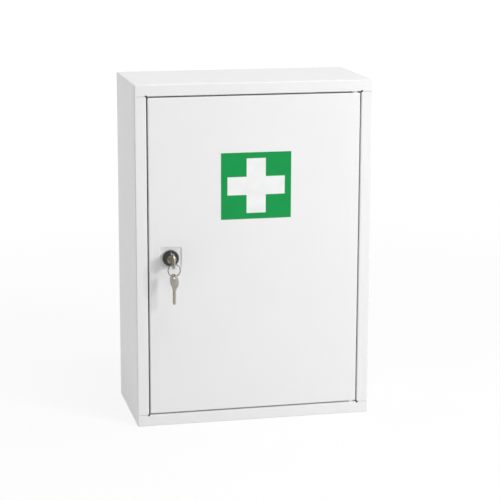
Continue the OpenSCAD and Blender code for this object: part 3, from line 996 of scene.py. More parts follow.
@dataclass
class Case:
    """The folded case with its door frame, and the back panel welded into it."""

    bend_r: float = 1.5 * MM
    frame_w: float = 15.5 * MM
    jamb_d: float = 14 * MM
    seam_w: float = 0.3 * MM
    seam_end: float = 0.3 * MM
    seam_step: float = 0.15 * MM
    fold_relief: float = 1 * MM
    corner_hole_r: float = 0.5 * MM
    wall_hole_r: float = 3.5 * MM
    wall_hole_side: float = 45 * MM
    wall_hole_end: float = 40 * MM
    stop_l: float = 16 * MM
    stop_bend_r: float = 0.4 * MM
    bumper_edge: float = 0.4 * MM
    bumper_faces: int = 32

    def build_wrap(self) -> None:
        """Builds the wrap: the four walls, the frame's flanges and the jambs."""
        sheet = SheetMetal()
        low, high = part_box("case_wrap")
        half_w = high.x - self.frame_w
        half_h = high.z - self.frame_w
        hole_x = half_w + self.bend_r
        hole_z = half_h + self.bend_r
        seam_x = high.x - self.bend_r - self.seam_end
        sheet.box(low, high, Axis.Y.vector)

        def on_front(face: Face) -> bool:
            """True for the faces of the front."""
            return looks(face, -Axis.Y.vector)

        for x in (seam_x, hole_x, half_w - self.fold_relief):
            sheet.score_pair(Axis.X, 0.0, x, on_front)
        for z in (hole_z, half_h + self.seam_w / 2, half_h - self.seam_w / 2, half_h - self.fold_relief):
            sheet.score_pair(Axis.Z, 0.0, z, on_front)

        def in_opening(face: Face) -> bool:
            """True for the faces that fill the door's opening."""
            return on_front(face) and abs(middle(face).x) < hole_x and abs(middle(face).z) < hole_z

        def in_seam(face: Face) -> bool:
            """True for the faces of the four seams."""
            level = abs(abs(middle(face).z) - half_h) < self.seam_w / 2
            return on_front(face) and level and hole_x < abs(middle(face).x) < seam_x

        sheet.cut_out(in_opening)
        sheet.cut_out(in_seam)
        sheet.round_folds(self.bend_r)
        self.open_corners(sheet, low, high)
        self.fold_jambs(sheet, low.y, half_w, half_h)
        self.set_back_uprights(sheet, low.y + self.bend_r, half_h - self.seam_w / 2)
        sheet.outwards(Axis.Z.vector)
        sheet.finish("case_shell", Body.CABINET, WHITE_PAINT, "case_wrap")

    def open_corners(self, sheet: SheetMetal, low: Vector, high: Vector) -> None:
        """Opens the small relief hole where three folds meet, at each front corner.

        Args:
            sheet: The wrap.
            low: The case's lowest corner.
            high: The case's highest corner.
        """
        # How far the middle of a corner's rounding lies behind the sharp corner, along each axis
        sunk = self.bend_r * (1 - 1 / math.sqrt(3))
        for x_sign, z_sign in CORNERS:
            corner = Vector((x_sign * high.x, low.y, z_sign * high.z))
            centre = corner + Vector((-x_sign, 1.0, -z_sign)) * sunk
            sheet.cut_out(lambda face: (middle(face) - centre).length < self.corner_hole_r)

    def fold_jambs(self, sheet: SheetMetal, front: float, half_w: float, half_h: float) -> None:
        """Folds the frame's flanges back into the four jambs.

        Args:
            sheet: The wrap.
            front: Y of the front face.
            half_w: Half the width of the opening.
            half_h: Half the height of the opening.
        """
        back = Axis.Y.vector * (self.jamb_d - self.bend_r)
        upright = (Axis.X.vector, half_w, Axis.Z.vector, half_h, -QUARTER)
        level = (Axis.Z.vector, half_h, Axis.X.vector, half_w, QUARTER)
        for sign in (-1, 1):
            for across, half, along, half_run, turn in (upright, level):
                edge = across * sign * (half + self.bend_r) + Axis.Y.vector * front
                end = half_run - self.fold_relief + NEAR
                flange = sheet.edges_where(
                    lambda at: abs((at - edge).dot(across)) < NEAR
                    and abs(at.y - front) < NEAR
                    and abs(at.dot(along)) < end
                )
                pivot = edge + Axis.Y.vector * self.bend_r
                sheet.extend(sheet.fold(flange, pivot, along, sign * turn), back)

    def set_back_uprights(self, sheet: SheetMetal, bend: float, seam: float) -> None:
        """Sets the frame's uprights a little behind its rails, as two butted flanges lie.

        Args:
            sheet: The wrap.
            bend: Y where the front's bends end.
            seam: Height of the seams' edges on the uprights.
        """
        for vert in sheet.bm.verts:
            if abs(vert.co.z) < seam + NEAR and vert.co.y < bend - NEAR:
                vert.co.y += self.seam_step

    def build_back_panel(self) -> None:
        """Builds the back panel, a shallow pan with four holes for the wall screws."""
        sheet = SheetMetal()
        low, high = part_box("back_panel")
        case_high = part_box("case_wrap")[1]
        hole_x, hole_z = case_high.x - self.wall_hole_side, case_high.z - self.wall_hole_end
        radius = self.wall_hole_r
        sheet.box(low, high, -Axis.Y.vector)
        for x_sign, z_sign in CORNERS:
            centre = Vector((x_sign * hole_x, high.y, z_sign * hole_z))
            sheet.hole(Axis.Y, centre, radius, 4 * radius, lambda face: looks(face, Axis.Y.vector))
        sheet.round_folds(self.bend_r)
        sheet.outwards(Axis.Y.vector)
        sheet.finish("rear_panel", Body.CABINET, WHITE_PAINT, "back_panel")

    def build_stops(self) -> None:
        """Builds the two angle pieces that the closed door's free edge rests against."""
        sheet = SheetMetal(bend_steps=3)
        low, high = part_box("door_stops")
        radius = sheet.thickness + self.stop_bend_r
        depth = Axis.Y.vector * (high.y - low.y - radius)
        for end in End:
            outer, inner = (end.value * (high.z - drop) for drop in (0.0, self.stop_l))
            leg = sheet.strip(Vector((low.x, low.y, outer)), Vector((low.x, low.y, inner)), depth)
            pivot = Vector((low.x + radius, high.y - radius, 0.0))
            bent = sheet.fold(leg, pivot, Axis.Z.vector, -QUARTER)
            sheet.extend(bent, Axis.X.vector * (high.x - low.x - radius))
        sheet.outwards(Axis.Y.vector)
        sheet.finish("stop_angles", Body.CABINET, WHITE_PAINT, "door_stops")

    def build_bumpers(self) -> None:
        """Builds the rubber bumpers on the door stops."""
        low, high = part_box("stop_bumpers")
        radius, height = (high.x - low.x) / 2, high.y - low.y
        places = [
            Matrix.Translation((low.x + radius, low.y, end.value * (high.z - radius)))
            @ Matrix.Rotation(-QUARTER, 4, "X")
            for end in End
        ]
        button = [(0.0, 0.0), (radius, 0.0), (radius, height), (0.0, height)]
        bm = turned(button, places, self.bumper_faces, self.bumper_edge, segments=3)
        finish_piece(bm, "rubber_bumpers", Body.CABINET, BLACK_RUBBER, "stop_bumpers")

    def build(self) -> None:
        """Builds the case's pieces."""
        self.build_wrap()
        self.build_back_panel()
        self.build_stops()
        self.build_bumpers()


# ---- Shelves ----


@dataclass
class Shelves:
    """Two fixed shelves, each riveted to a pair of angle cleats."""

    bend_r: float = 1.5 * MM
    front_fold: float = 12 * MM
    cleat_w: float = 12 * MM
    rivet_head_h: float = 1 * MM
    rivet_head_r: float = 3.2 * MM
    rivet_tail_r: float = 2.2 * MM
    mandrel_r: float = 0.9 * MM
    mandrel_rim_r: float = 1.35 * MM
    mandrel_top: float = 0.6 * MM
    rivet_faces: int = 24
    # The head's dome, as shares of its radius and height
    rivet_dome: tuple[Point, ...] = ((1.0, 0.0), (0.96, 0.35), (0.72, 0.8))

    def build_shelf(self, level: str) -> None:
        """Builds one shelf, folded down at the front and up at the back.

        Args:
            level: The shelf's level, upper or lower.
        """
        sheet = SheetMetal()
        low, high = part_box(f"shelf_{level}")
        top = low.z + self.front_fold
        inner_r = self.bend_r - sheet.thickness
        front, back = low.y + self.bend_r, high.y - self.bend_r
        depth = Axis.Y.vector * (back - front)
        far = sheet.strip(Vector((low.x, front, top)), Vector((high.x, front, top)), depth)
        near = sheet.edges_where(lambda at: abs(at.y - front) < NEAR)
        lip = sheet.fold(near, Vector((0.0, front, top - self.bend_r)), Axis.X.vector, QUARTER)
        sheet.extend(lip, Axis.Z.vector * (self.bend_r - self.front_fold))
        upstand = sheet.fold(far, Vector((0.0, back, top + inner_r)), Axis.X.vector, QUARTER)
        sheet.extend(upstand, Axis.Z.vector * (high.z - top - inner_r))
        sheet.outwards(-Axis.Y.vector)
        sheet.finish(f"{level}_shelf", Body.CABINET, WHITE_PAINT, f"shelf_{level}")

    def build_cleats(self, level: str) -> None:
        """Builds the pair of angles under one shelf.

        Args:
            level: The shelf's level, upper or lower.
        """
        sheet = SheetMetal()
        low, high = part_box(f"cleats_{level}")
        run = Axis.Y.vector * (high.y - low.y)
        for side in Side:
            wall = side.value * high.x
            foot = Vector((wall, low.y, low.z))
            leg = sheet.strip(foot, foot + run, Axis.Z.vector * (high.z - low.z - self.bend_r))
            pivot = Vector((wall - side.value * self.bend_r, 0.0, high.z - self.bend_r))
            bent = sheet.fold(leg, pivot, Axis.Y.vector, -side.value * QUARTER)
            sheet.extend(bent, Axis.X.vector * side.value * (self.bend_r - self.cleat_w))
        sheet.outwards(Axis.Z.vector)
        sheet.finish(f"{level}_cleats", Body.CABINET, WHITE_PAINT, f"cleats_{level}")

    def build_rivets(self) -> None:
        """Builds the eight blind rivets, with their domed heads on the shelves."""
        low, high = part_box("shelf_rivets")
        head_r, head_h = self.rivet_head_r, self.rivet_head_h
        rise = high.z - head_h
        tail = low.z + rise
        outline = [
            (self.mandrel_r, tail),
            (self.rivet_tail_r, tail),
            (self.rivet_tail_r, tail / 2),
            *((head_r * out, head_h * up) for out, up in self.rivet_dome),
            (self.mandrel_rim_r, head_h),
            (self.mandrel_r, self.mandrel_top),
            (self.mandrel_r, tail),
        ]
        places = [
            Matrix.Translation((x, y, level))
            for level in (-rise, rise)
            for x in (low.x + head_r, high.x - head_r)
            for y in (low.y + head_r, high.y - head_r)
        ]
        bm = turned(outline, places, self.rivet_faces)
        finish_piece(bm, "blind_rivets", Body.CABINET, RIVET_STEEL, "shelf_rivets")

    def build(self) -> None:
        """Builds both shelves, their cleats and the rivets."""
        for level in ("upper", "lower"):
            self.build_shelf(level)
            self.build_cleats(level)
        self.build_rivets()


# ---- Hinge ----


@dataclass
class Hinge:
    """Two pivot pins riveted in the case, and the nylon bushes that they turn in."""

    pin_r: float = 2 * MM
    tip_l: float = 1 * MM
    tip_r: float = 1.3 * MM
    head_h: float = 1.2 * MM
    head_dome: tuple[Point, ...] = ((1.0, 0.6), (0.7, 0.12))
    pin_edge: float = 0.1 * MM
    bore_r: float = 2.05 * MM
    sleeve_r: float = 3.05 * MM
    flange_t: float = 1.6 * MM
    bush_edge: float = 0.15 * MM
    pin_faces: int = 32
    bush_faces: int = 40

    def place(self, node: str, end: End) -> Matrix:
        """Places local axes in the middle of a node, with Z pointing to its end of the hinge."""
        return Matrix.Translation(centre_of(node)) @ Matrix.Diagonal((1.0, 1.0, end.value, 1.0))

    def build_pin(self, end: End) -> None:
        """Builds one pin, with its riveted head outside the jamb.

        Args:
            end: The end of the door that it holds.
        """
        node = f"hinge_pin_{end.name.lower()}"
        size = size_of(node)
        half = size.z / 2
        outline = [
            (0.0, -half),
            (self.tip_r, -half),
            (self.pin_r, self.tip_l - half),
            (self.pin_r, half - self.head_h),
            *domed_head(size.x / 2, self.head_h, half, self.head_dome),
        ]
        bm = turned(outline, [self.place(node, end)], self.pin_faces, self.pin_edge)
        finish_piece(bm, f"{end.name.lower()}_pivot_pin", Body.CABINET, BRIGHT_ZINC, node)

    def build_bush(self, end: End) -> None:
        """Builds one bush, with its flange in the gap over the door.

        Args:
            end: The end of the door that it sits in.
        """
        node = f"hinge_bush_{end.name.lower()}"
        size = size_of(node)
        half, flange_r = size.z / 2, size.x / 2
        outline = [
            (self.bore_r, -half),
            (self.sleeve_r, -half),
            (self.sleeve_r, half - self.flange_t),
            (flange_r, half - self.flange_t),
            (flange_r, half),
            (self.bore_r, half),
            (self.bore_r, -half),
        ]
        bm = turned(outline, [self.place(node, end)], self.bush_faces, self.bush_edge)
        finish_piece(bm, f"{end.name.lower()}_bush", Body.DOOR, NATURAL_NYLON, node)

    def build(self) -> None:
        """Builds the pins and the bushes."""
        for end in End:
            self.build_pin(end)
            self.build_bush(end)


# ---- Door ----


@dataclass
class Door:
    """The folded door, with the pocket pressed in round the lock."""

    bend_r: float = 1.5 * MM
    hem: float = 9 * MM
    hem_r: float = 1.2 * MM
    hem_relief: float = 3 * MM
    pocket_w: float = 29 * MM
    pocket_d: float = 1.2 * MM
    pocket_slope: float = 0.5 * MM
    pocket_corner_r: float = 1.5 * MM
    pocket_edge_r: float = 0.35 * MM
    pocket_reach: float = 22 * MM
    corner_steps: int = 4
    crease_steps: int = 3
    barrel_r: float = 9.6 * MM
    barrel_cell: float = 23.2 * MM
    bush_hole_r: float = 2.55 * MM
    bush_cell: float = 5.7 * MM

    def press_pocket(self, sheet: SheetMetal, lock: Vector) -> None:
        """Presses the square pocket into the front, and cuts the barrel's hole.

        Args:
            sheet: The door, still without its thickness.
            lock: A point on the lock's axis.
        """

        def on_front(face: Face) -> bool:
            """True for the faces of the front."""
            return looks(face, -Axis.Y.vector)

        def in_pocket(face: Face) -> bool:
            """True for the pocket's floor."""
            away = middle(face) - lock
            return on_front(face) and abs(away.x) < NEAR and abs(away.z) < NEAR

        sheet.score_pair(Axis.X, lock.x, self.pocket_w / 2, on_front)
        sheet.score_pair(Axis.Z, lock.z, self.pocket_w / 2, on_front)
        floor = next(face for face in sheet.bm.faces if in_pocket(face))
        bmesh.ops.inset_individual(
            sheet.bm, faces=[floor], thickness=self.pocket_slope, depth=-self.pocket_d, use_even_offset=True
        )
        floor = next(face for face in sheet.bm.faces if in_pocket(face))
        base = list(floor.edges)
        corners = [edge for vert in floor.verts for edge in vert.link_edges if edge not in base]
        bevel(sheet.bm, corners, self.pocket_corner_r, self.corner_steps, clamp=False)
        creases = [
            edge
            for edge in sheet.bm.edges
            if turn_at(edge) > SOFT_TURN and (middle(edge) - lock).xz.length < self.pocket_reach
        ]
        bevel(sheet.bm, creases, self.pocket_edge_r, self.crease_steps)
        centre = lock + Axis.Y.vector * self.pocket_d
        sheet.hole(
            Axis.Y,
            centre,
            self.barrel_r,
            self.barrel_cell,
            lambda face: on_front(face) and abs(middle(face).y - centre.y) < NEAR,
        )

    def fold_hems(self, sheet: SheetMetal, high: Vector) -> None:
        """Folds the hem in along both upright edges.

        Args:
            sheet: The door.
            high: The door's highest corner.
        """
        span = high.z - self.hem_relief
        start = high.y - self.hem_r
        for side in Side:
            out = Axis.X.vector * side.value

            def on_edge(face: Face) -> bool:
                """True for the faces of this upright edge."""
                return looks(face, out)

            sheet.bm.normal_update()
            sheet.score_pair(Axis.Z, 0.0, span, on_edge)
            sheet.score(Axis.Y, start, on_edge)
            sheet.cut_out(
                lambda face: on_edge(face) and middle(face).y > start and abs(middle(face).z) < span
            )
            x = side.value * high.x
            along = sheet.edges_where(
                lambda at: abs(at.x - x) < NEAR and abs(at.y - start) < NEAR and abs(at.z) < span + NEAR
            )
            free = [edge for edge in along if edge.is_boundary]
            pivot = Vector((x - side.value * self.hem_r, start, 0.0))
            bent = sheet.fold(free, pivot, Axis.Z.vector, side.value * QUARTER)
            sheet.extend(bent, out * (self.hem_r - self.hem))

    def drill_for_bushes(self, sheet: SheetMetal) -> None:
        """Cuts the holes that the bushes and pins go through, at both ends of the hinge.

        Args:
            sheet: The door, with its folds rounded.
        """
        for end in End:
            centre = centre_of(f"hinge_pin_{end.name.lower()}")
            out = Axis.Z.vector * end.value
            sheet.bm.normal_update()
            sheet.hole(Axis.Z, centre, self.bush_hole_r, self.bush_cell, lambda face: looks(face, out))

    def build(self) -> None:
        """Builds the door's panel."""
        sheet = SheetMetal()
        low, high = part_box("door_panel")
        lock = centre_of("lock_bezel")
        lock.y = low.y
        sheet.box(low, high, Axis.Y.vector)
        self.press_pocket(sheet, lock)
        sheet.bm.normal_update()
        sheet.round_folds(self.bend_r, lambda at: (at - lock).xz.length > self.pocket_reach)
        self.drill_for_bushes(sheet)
        self.fold_hems(sheet, high)
        sheet.outwards(-Axis.Y.vector)
        sheet.finish("door_leaf", Body.DOOR, WHITE_PAINT, "door_panel")


# ---- Lock ----


@dataclass
class CamLock:
    """The cam lock: bezel, barrel, washer and nut on the door, and the parts that the key turns."""

    bezel_band: float = 2.5 * MM
    bezel_hole_r: float = 6.4 * MM
    bezel_rim: float = 0.25 * MM
    bezel_chamfer: float = 0.15 * MM
    bezel_lip: float = 1.3 * MM
    bezel_bore_r: float = 9.55 * MM
    bezel_step: float = 4.5 * MM
    fine_edge: float = 0.12 * MM
    neck_r: float = 7 * MM
    neck_play: float = 0.05 * MM
    neck_past: float = 2.4 * MM
    barrel_bore_r: float = 6.05 * MM
    barrel_flats: float = 16 * MM
    thread_pitch: float = 1 * MM
    thread_depth: float = 0.45 * MM
    nut_flats: float = 23 * MM
    nut_edge: float = 0.5 * MM
    plug_edge: float = 0.3 * MM
    tail_w: float = 7 * MM
    cam_r: float = 6.5 * MM
    cam_edge: float = 0.25 * MM
    screw_r: float = 2 * MM
    screw_play: float = 0.05 * MM
    screw_tip: Point = (1.6 * MM, 0.4 * MM)
    screw_head_h: float = 2.4 * MM
    screw_dome: tuple[Point, ...] = ((1.0, 0.45), (0.75, 0.1))
    screw_slot: float = 1 * MM
    # The cosine of the steepest lean of the dome's faces
    dome_lean: float = 0.3
    dome_steps: int = 14
    bezel_faces: int = 96
    barrel_faces: int = 64
    washer_faces: int = 64
    nut_faces: int = 48
    screw_faces: int = 48
    hub_steps: int = 24
    tip_steps: int = 16
    flat_turn: float = math.radians(0.5)

    def place(self, depth: float) -> Matrix:
        """Places local axes on the lock's axis, with Z pointing back.

        Args:
            depth: Y of the local origin.

        Returns:
            The place.
        """
        axis = centre_of("lock_bezel")
        return Matrix.Translation((axis.x, depth, axis.z)) @ Matrix.Rotation(-QUARTER, 4, "X")

    def build_bezel(self) -> None:
        """Builds the domed bezel."""
        size = size_of("lock_bezel")
        radius, height = size.x / 2, size.y
        rim = math.degrees(math.acos((self.bezel_hole_r + self.bezel_rim) / radius))
        dome = arc((0.0, height - self.bezel_band), radius, 0.0, -rim, self.dome_steps)
        outline = [
            (self.bezel_bore_r, height),
            (radius, height),
            *dome,
            (self.bezel_hole_r, dome[-1][1] + self.bezel_chamfer),
            (self.bezel_hole_r, self.bezel_lip),
            (self.neck_r, self.bezel_lip),
            (self.neck_r, height - self.bezel_step),
            (self.bezel_bore_r, height - self.bezel_step),
            (self.bezel_bore_r, height),
        ]
        place = self.place(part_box("lock_bezel")[0].y)
        bm = turned(outline, [place], self.bezel_faces, self.fine_edge)
        finish_piece(bm, "domed_bezel", Body.DOOR, BLACK_NICKEL, "lock_bezel")

    def build_housing(self) -> None:
        """Builds the barrel, threaded between its two flats, with its plain neck."""
        low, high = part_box("lock_housing")
        length, radius = high.y - low.y, (high.z - low.z) / 2
        neck_r = self.neck_r - self.neck_play
        neck_l = self.bezel_step + (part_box("lock_bezel")[0].y - low.y) + self.neck_past
        thread = []
        for ridge in range(int((length - neck_l) / self.thread_pitch)):
            start = neck_l + ridge * self.thread_pitch
            thread += [(radius - self.thread_depth, start), (radius, start + self.thread_pitch / 2)]
        outline = [
            (self.barrel_bore_r, 0.0),
            (neck_r, 0.0),
            (neck_r, neck_l),
            *thread,
            (radius - self.thread_depth, length),
            (self.barrel_bore_r, length),
            (self.barrel_bore_r, 0.0),
        ]
        bm = turned(outline, [self.place(low.y)], self.barrel_faces)
        for side in Side:
            out = Axis.X.vector * side.value
            split(bm, centre_of("lock_bezel") + out * self.barrel_flats / 2, out, clear=True)
            bmesh.ops.holes_fill(bm, edges=[edge for edge in bm.edges if edge.is_boundary], sides=0)
        face_outwards(bm)
        finish_piece(bm, "threaded_barrel", Body.DOOR, DIE_CASTING, "lock_housing")

    def build_nut(self) -> None:
        """Builds the hexagon nut behind the door, with its corners chamfered."""
        low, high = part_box("lock_nut")
        height = high.y - low.y
        corner_r = self.nut_flats / 2 / math.cos(math.radians(30))
        outer = arc((0.0, 0.0), corner_r, 0.0, 300.0, 5)
        inner = arc((0.0, 0.0), self.bezel_bore_r, 0.0, 360.0, self.nut_faces)[:-1]
        place = self.place(low.y) @ Matrix.Translation((0.0, 0.0, height / 2))
        bm = cut_plate([outer, inner], height, place)

        def at_corner(vert: Vert) -> bool:
            """True for the vertices of the hexagon."""
            return abs((vert.co - place.translation).xz.length - corner_r) < NEAR

        corners = [
            edge for edge in bm.edges if turn_at(edge) > FOLD_TURN and all(map(at_corner, edge.verts))
        ]
        soften(bm, self.nut_edge, edges=corners)
        finish_piece(bm, "hexagon_nut", Body.DOOR, BRIGHT_ZINC, "lock_nut")

    def build_washers(self) -> None:
        """Builds the washer behind the door and the one under the cam's screw."""
        for node, name, body, bore_r in (
            ("lock_washer", "barrel_washer", Body.DOOR, self.bezel_bore_r),
            ("cam_washer", "screw_washer", Body.LOCK_CORE, self.screw_r + self.screw_play),
        ):
            size = size_of(node)
            outline = ring(bore_r, size.x / 2, size.y)
            place = self.place(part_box(node)[0].y)
            bm = turned(outline, [place], self.washer_faces, self.fine_edge)
            finish_piece(bm, name, body, BRIGHT_ZINC, node)

    def build_plug(self) -> None:
        """Builds the plug from its node's own mesh, with a softened front edge."""
        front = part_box("lock_plug")[0].y
        bm = bmesh.new()
        bm.from_mesh(bpy.data.objects["lock_plug"].data)
        merge(bm)
        bmesh.ops.dissolve_limit(
            bm,
            angle_limit=self.flat_turn,
            use_dissolve_boundaries=False,
            verts=bm.verts[:],
            edges=bm.edges[:],
        )
        rim = [edge for edge in bm.edges if all(abs(vert.co.y - front) < NEAR for vert in edge.verts)]
        soften(bm, self.plug_edge, segments=3, edges=rim)
        finish_piece(bm, "turning_plug", Body.LOCK_CORE, LOCK_NICKEL, "lock_plug")

    def build_cam(self) -> None:
        """Builds the cam, a flat arm with a square hole on the plug's tail."""
        low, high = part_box("lock_cam")
        axis = centre_of("lock_bezel")
        thickness = high.y - low.y
        hub_r, reach = high.z - axis.z, axis.z - low.z
        shoulder = math.degrees(math.acos(self.cam_r / hub_r))
        hub = arc((0.0, 0.0), hub_r, shoulder, -180.0 - shoulder, self.hub_steps)
        tip = arc((0.0, reach - self.cam_r), self.cam_r, 180.0, 0.0, self.tip_steps)
        half = self.tail_w / 2
        hole = [(-half, -half), (half, -half), (half, half), (-half, half)]
        place = self.place(low.y) @ Matrix.Translation((0.0, 0.0, thickness / 2))
        bm = cut_plate([[*hub, *tip], hole], thickness, place)
        soften(bm, self.cam_edge)
        finish_piece(bm, "cam_arm", Body.LOCK_CORE, BRIGHT_ZINC, "lock_cam")

    def build_screw(self) -> None:
        """Builds the slotted screw that holds the cam."""
        low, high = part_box("cam_screw")
        axis = centre_of("cam_screw")
        length, half_slot = high.y - low.y, self.screw_slot / 2
        dome_y = (length - self.screw_head_h) / 2
        outline = [
            (0.0, 0.0),
            (self.screw_tip[0], 0.0),
            (self.screw_r, self.screw_tip[1]),
            (self.screw_r, length - self.screw_head_h),
            *domed_head((high.x - low.x) / 2, self.screw_head_h, length, self.screw_dome),
        ]
        bm = turned(outline, [self.place(low.y)], self.screw_faces)
        for sign in (-1, 1):
            split(bm, axis + Axis.Z.vector * sign * half_slot, Axis.Z.vector)

        def in_slot(face: Face) -> bool:
            """True for the faces of the head's dome over the slot."""
            at = middle(face) - axis
            return at.y > dome_y and abs(at.z) < half_slot and looks(face, Axis.Y.vector, self.dome_lean)

        for vert in sink(bm, [face for face in bm.faces if in_slot(face)]):
            vert.co.y = high.y - self.screw_slot
        face_outwards(bm)
        finish_piece(bm, "slotted_screw", Body.LOCK_CORE, BRIGHT_ZINC, "cam_screw")

    def build(self, frame: dict) -> None:
        """Builds the lock's pieces and dresses its wafers.

        Args:
            frame: The loaded frame.
        """
        self.build_bezel()
        self.build_housing()
        self.build_washers()
        self.build_nut()
        self.build_plug()
        self.build_cam()
        self.build_screw()
        dress_node(frame, "lock_wafers", STAMPED_BRASS)


# ---- Keys ----


@dataclass
class Keys:
    """The key in the lock, the split ring through its bow and the spare key that hangs on it."""

    bow_r: float = 9.8 * MM
    bow_l: float = 20.7 * MM
    hole_r: float = 2.6 * MM
    hole_span: float = 3 * MM
    bridge: float = 2.2 * MM
    shoulder_w: float = 9 * MM
    blade_w: float = 5.4 * MM
    blade_l: float = 20.5 * MM
    tip_l: float = 2 * MM
    thickness: float = 2 * MM
    edge: float = 0.22 * MM
    cuts: tuple[float, ...] = (0.6 * MM, 1.2 * MM, 0.36 * MM, 0.96 * MM)
    cut_flat: float = 0.5 * MM
    groove_w: float = 1.4 * MM
    groove_d: float = 0.4 * MM
    groove_shift: float = 0.35 * MM
    groove_start: float = 1.5 * MM
    groove_end: float = 19.8 * MM
    spare_twist: float = math.radians(21)
    wire: float = 1.2 * MM
    wire_play: float = 0.02 * MM
    ring_start: float = math.radians(-60)
    crossing: float = math.radians(32)
    bow_steps: int = 56
    hole_steps: int = 16
    turn_steps: int = 60
    crossing_steps: int = 10

    def outline(self) -> list[Point]:
        """Draws the key's outline.

        Returns:
            Its points: the shoulder is at 0, the blade runs to +X and the cuts face -Y.
        """
        half_shoulder, half_blade = self.shoulder_w / 2, self.blade_w / 2
        start = math.degrees(math.asin(half_shoulder / self.bow_r))
        bow = arc((self.bow_r - self.bow_l, 0.0), self.bow_r, start, 360.0 - start, self.bow_steps)
        pitch = self.blade_l / (len(self.cuts) + 1.5)
        edge: list[Point] = []
        for number, depth in reversed(list(enumerate(self.cuts, 1))):
            at = self.blade_l - pitch * number
            edge += [
                (at - self.cut_flat - depth, -half_blade),
                (at - self.cut_flat, depth - half_blade),
                (at + self.cut_flat, depth - half_blade),
                (at + self.cut_flat + depth, -half_blade),
            ]
        return [
            *bow,
            (0.0, -half_shoulder),
            (0.0, -half_blade),
            *edge,
            (self.blade_l - self.tip_l, -half_blade),
            (self.blade_l, -half_blade / 4),
            (self.blade_l, half_blade / 4),
            (self.blade_l - self.tip_l, half_blade),
            (0.0, half_blade),
            (0.0, half_shoulder),
        ]

    def ring_hole(self) -> list[Point]:
        """Draws the hole for the ring, a slot across the key.

        Returns:
            Its points.
        """
        at = self.bridge + self.hole_r - self.bow_l
        upper = arc((at, self.hole_span / 2), self.hole_r, 0.0, 180.0, self.hole_steps)
        lower = arc((at, -self.hole_span / 2), self.hole_r, 180.0, 360.0, self.hole_steps)
        return [*upper, *lower]

    def mill_groove(self, bm: Mesh, face_sign: int) -> None:
        """Sinks the groove into one face of a key.

        Args:
            bm: The key's mesh, on its own axes.
            face_sign: The sign of Z of the face.
        """
        low = self.groove_shift * face_sign - self.groove_w / 2
        high = low + self.groove_w
        start, end = self.groove_start, self.groove_end

        def on_face(face: Face) -> bool:
            """True for this flat face of the key."""
            return looks(face, Axis.Z.vector * face_sign, FLAT)

        def in_groove(face: Face) -> bool:
            """True for the faces over the groove."""
            at = middle(face)
            return on_face(face) and low < at.y < high and start < at.x < end

        bm.normal_update()
        for axis, ends in ((Axis.Y.vector, (low, high)), (Axis.X.vector, (start, end))):
            for at in ends:
                split(bm, axis * at, axis, [face for face in bm.faces if on_face(face)])
        floor = sink(bm, [face for face in bm.faces if in_groove(face)])
        bmesh.ops.translate(bm, vec=(0.0, 0.0, -face_sign * self.groove_d), verts=floor)

    def build_key(self, name: str, body: Body, node: str, place: Matrix) -> None:
        """Builds a key.

        Args:
            name: The piece's name.
            body: The body that it rides on.
            node: The node that it stands for.
            place: Where the key's own axes lie.
        """
        bm = cut_plate([self.outline(), self.ring_hole()], self.thickness, Matrix.Identity(4))
        soften(bm, self.edge)
        for face_sign in (-1, 1):
            self.mill_groove(bm, face_sign)
        bmesh.ops.transform(bm, matrix=place, verts=bm.verts[:])
        finish_piece(bm, name, body, KEY_NICKEL, node)

    def build_door_key(self) -> None:
        """Builds the key in the lock, with its flat faces upright."""
        axis = centre_of("lock_bezel")
        shoulder = Vector((axis.x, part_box("door_key")[0].y + self.bow_l, axis.z))
        turn = Matrix.Rotation(-QUARTER, 4, "X") @ Matrix.Rotation(-QUARTER, 4, "Y")
        place = Matrix.Translation(shoulder) @ turn
        self.build_key("inserted_key", Body.DOOR_KEY, "door_key", place)

    def build_spare_key(self) -> None:
        """Builds the spare key, hanging turned a little on the ring."""
        axis = centre_of("split_ring")
        shoulder = Vector((axis.x, axis.y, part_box("spare_key")[1].z - self.bow_l))
        turn = Matrix.Rotation(self.spare_twist, 4, "Z") @ Matrix.Rotation(QUARTER, 4, "Y")
        place = Matrix.Translation(shoulder) @ turn
        self.build_key("hanging_key", Body.SPARE_KEY, "spare_key", place)

    def build_ring(self) -> None:
        """Winds the split ring: two turns of flat wire that lie side by side, with one crossing."""
        centre, size = centre_of("split_ring"), size_of("split_ring")
        radius = (size.x - self.wire) / 2
        turn = size.y / 2
        half_w, half_t = self.wire / 2, turn / 2 - self.wire_play
        bm = bmesh.new()
        start = centre + Vector((radius, -turn / 2, 0.0))
        corners = [(-half_w, -half_t), (half_w, -half_t), (half_w, half_t), (-half_w, half_t)]
        section = bm.faces.new([bm.verts.new(start + Vector((x, y, 0.0))) for x, y in corners])
        bmesh.ops.bevel(
            bm,
            geom=list(section.verts),
            offset=self.edge,
            offset_type="OFFSET",
            segments=2,
            profile=0.5,
            affect="VERTICES",
            material=-1,
        )
        end = bm.verts[:] + bm.edges[:] + bm.faces[:]
        first = Matrix.Rotation(self.ring_start, 3, "Y")
        bmesh.ops.rotate(bm, cent=centre, matrix=first, verts=bm.verts[:])
        whole = FULL_TURN - self.crossing
        for angle, climb, steps in (
            (whole, 0.0, self.turn_steps),
            (self.crossing, turn, self.crossing_steps),
            (whole, 0.0, self.turn_steps),
        ):
            rise = Axis.Y.vector * climb / steps
            end = spin(bm, end, centre, Axis.Y.vector, angle, steps, climb=rise)
        face_outwards(bm)
        finish_piece(bm, "wound_ring", Body.KEY_RING, RING_STEEL, "split_ring")

    def build(self) -> None:
        """Builds both keys and their ring."""
        self.build_door_key()
        self.build_ring()
        self.build_spare_key()


# ---- Studio ----


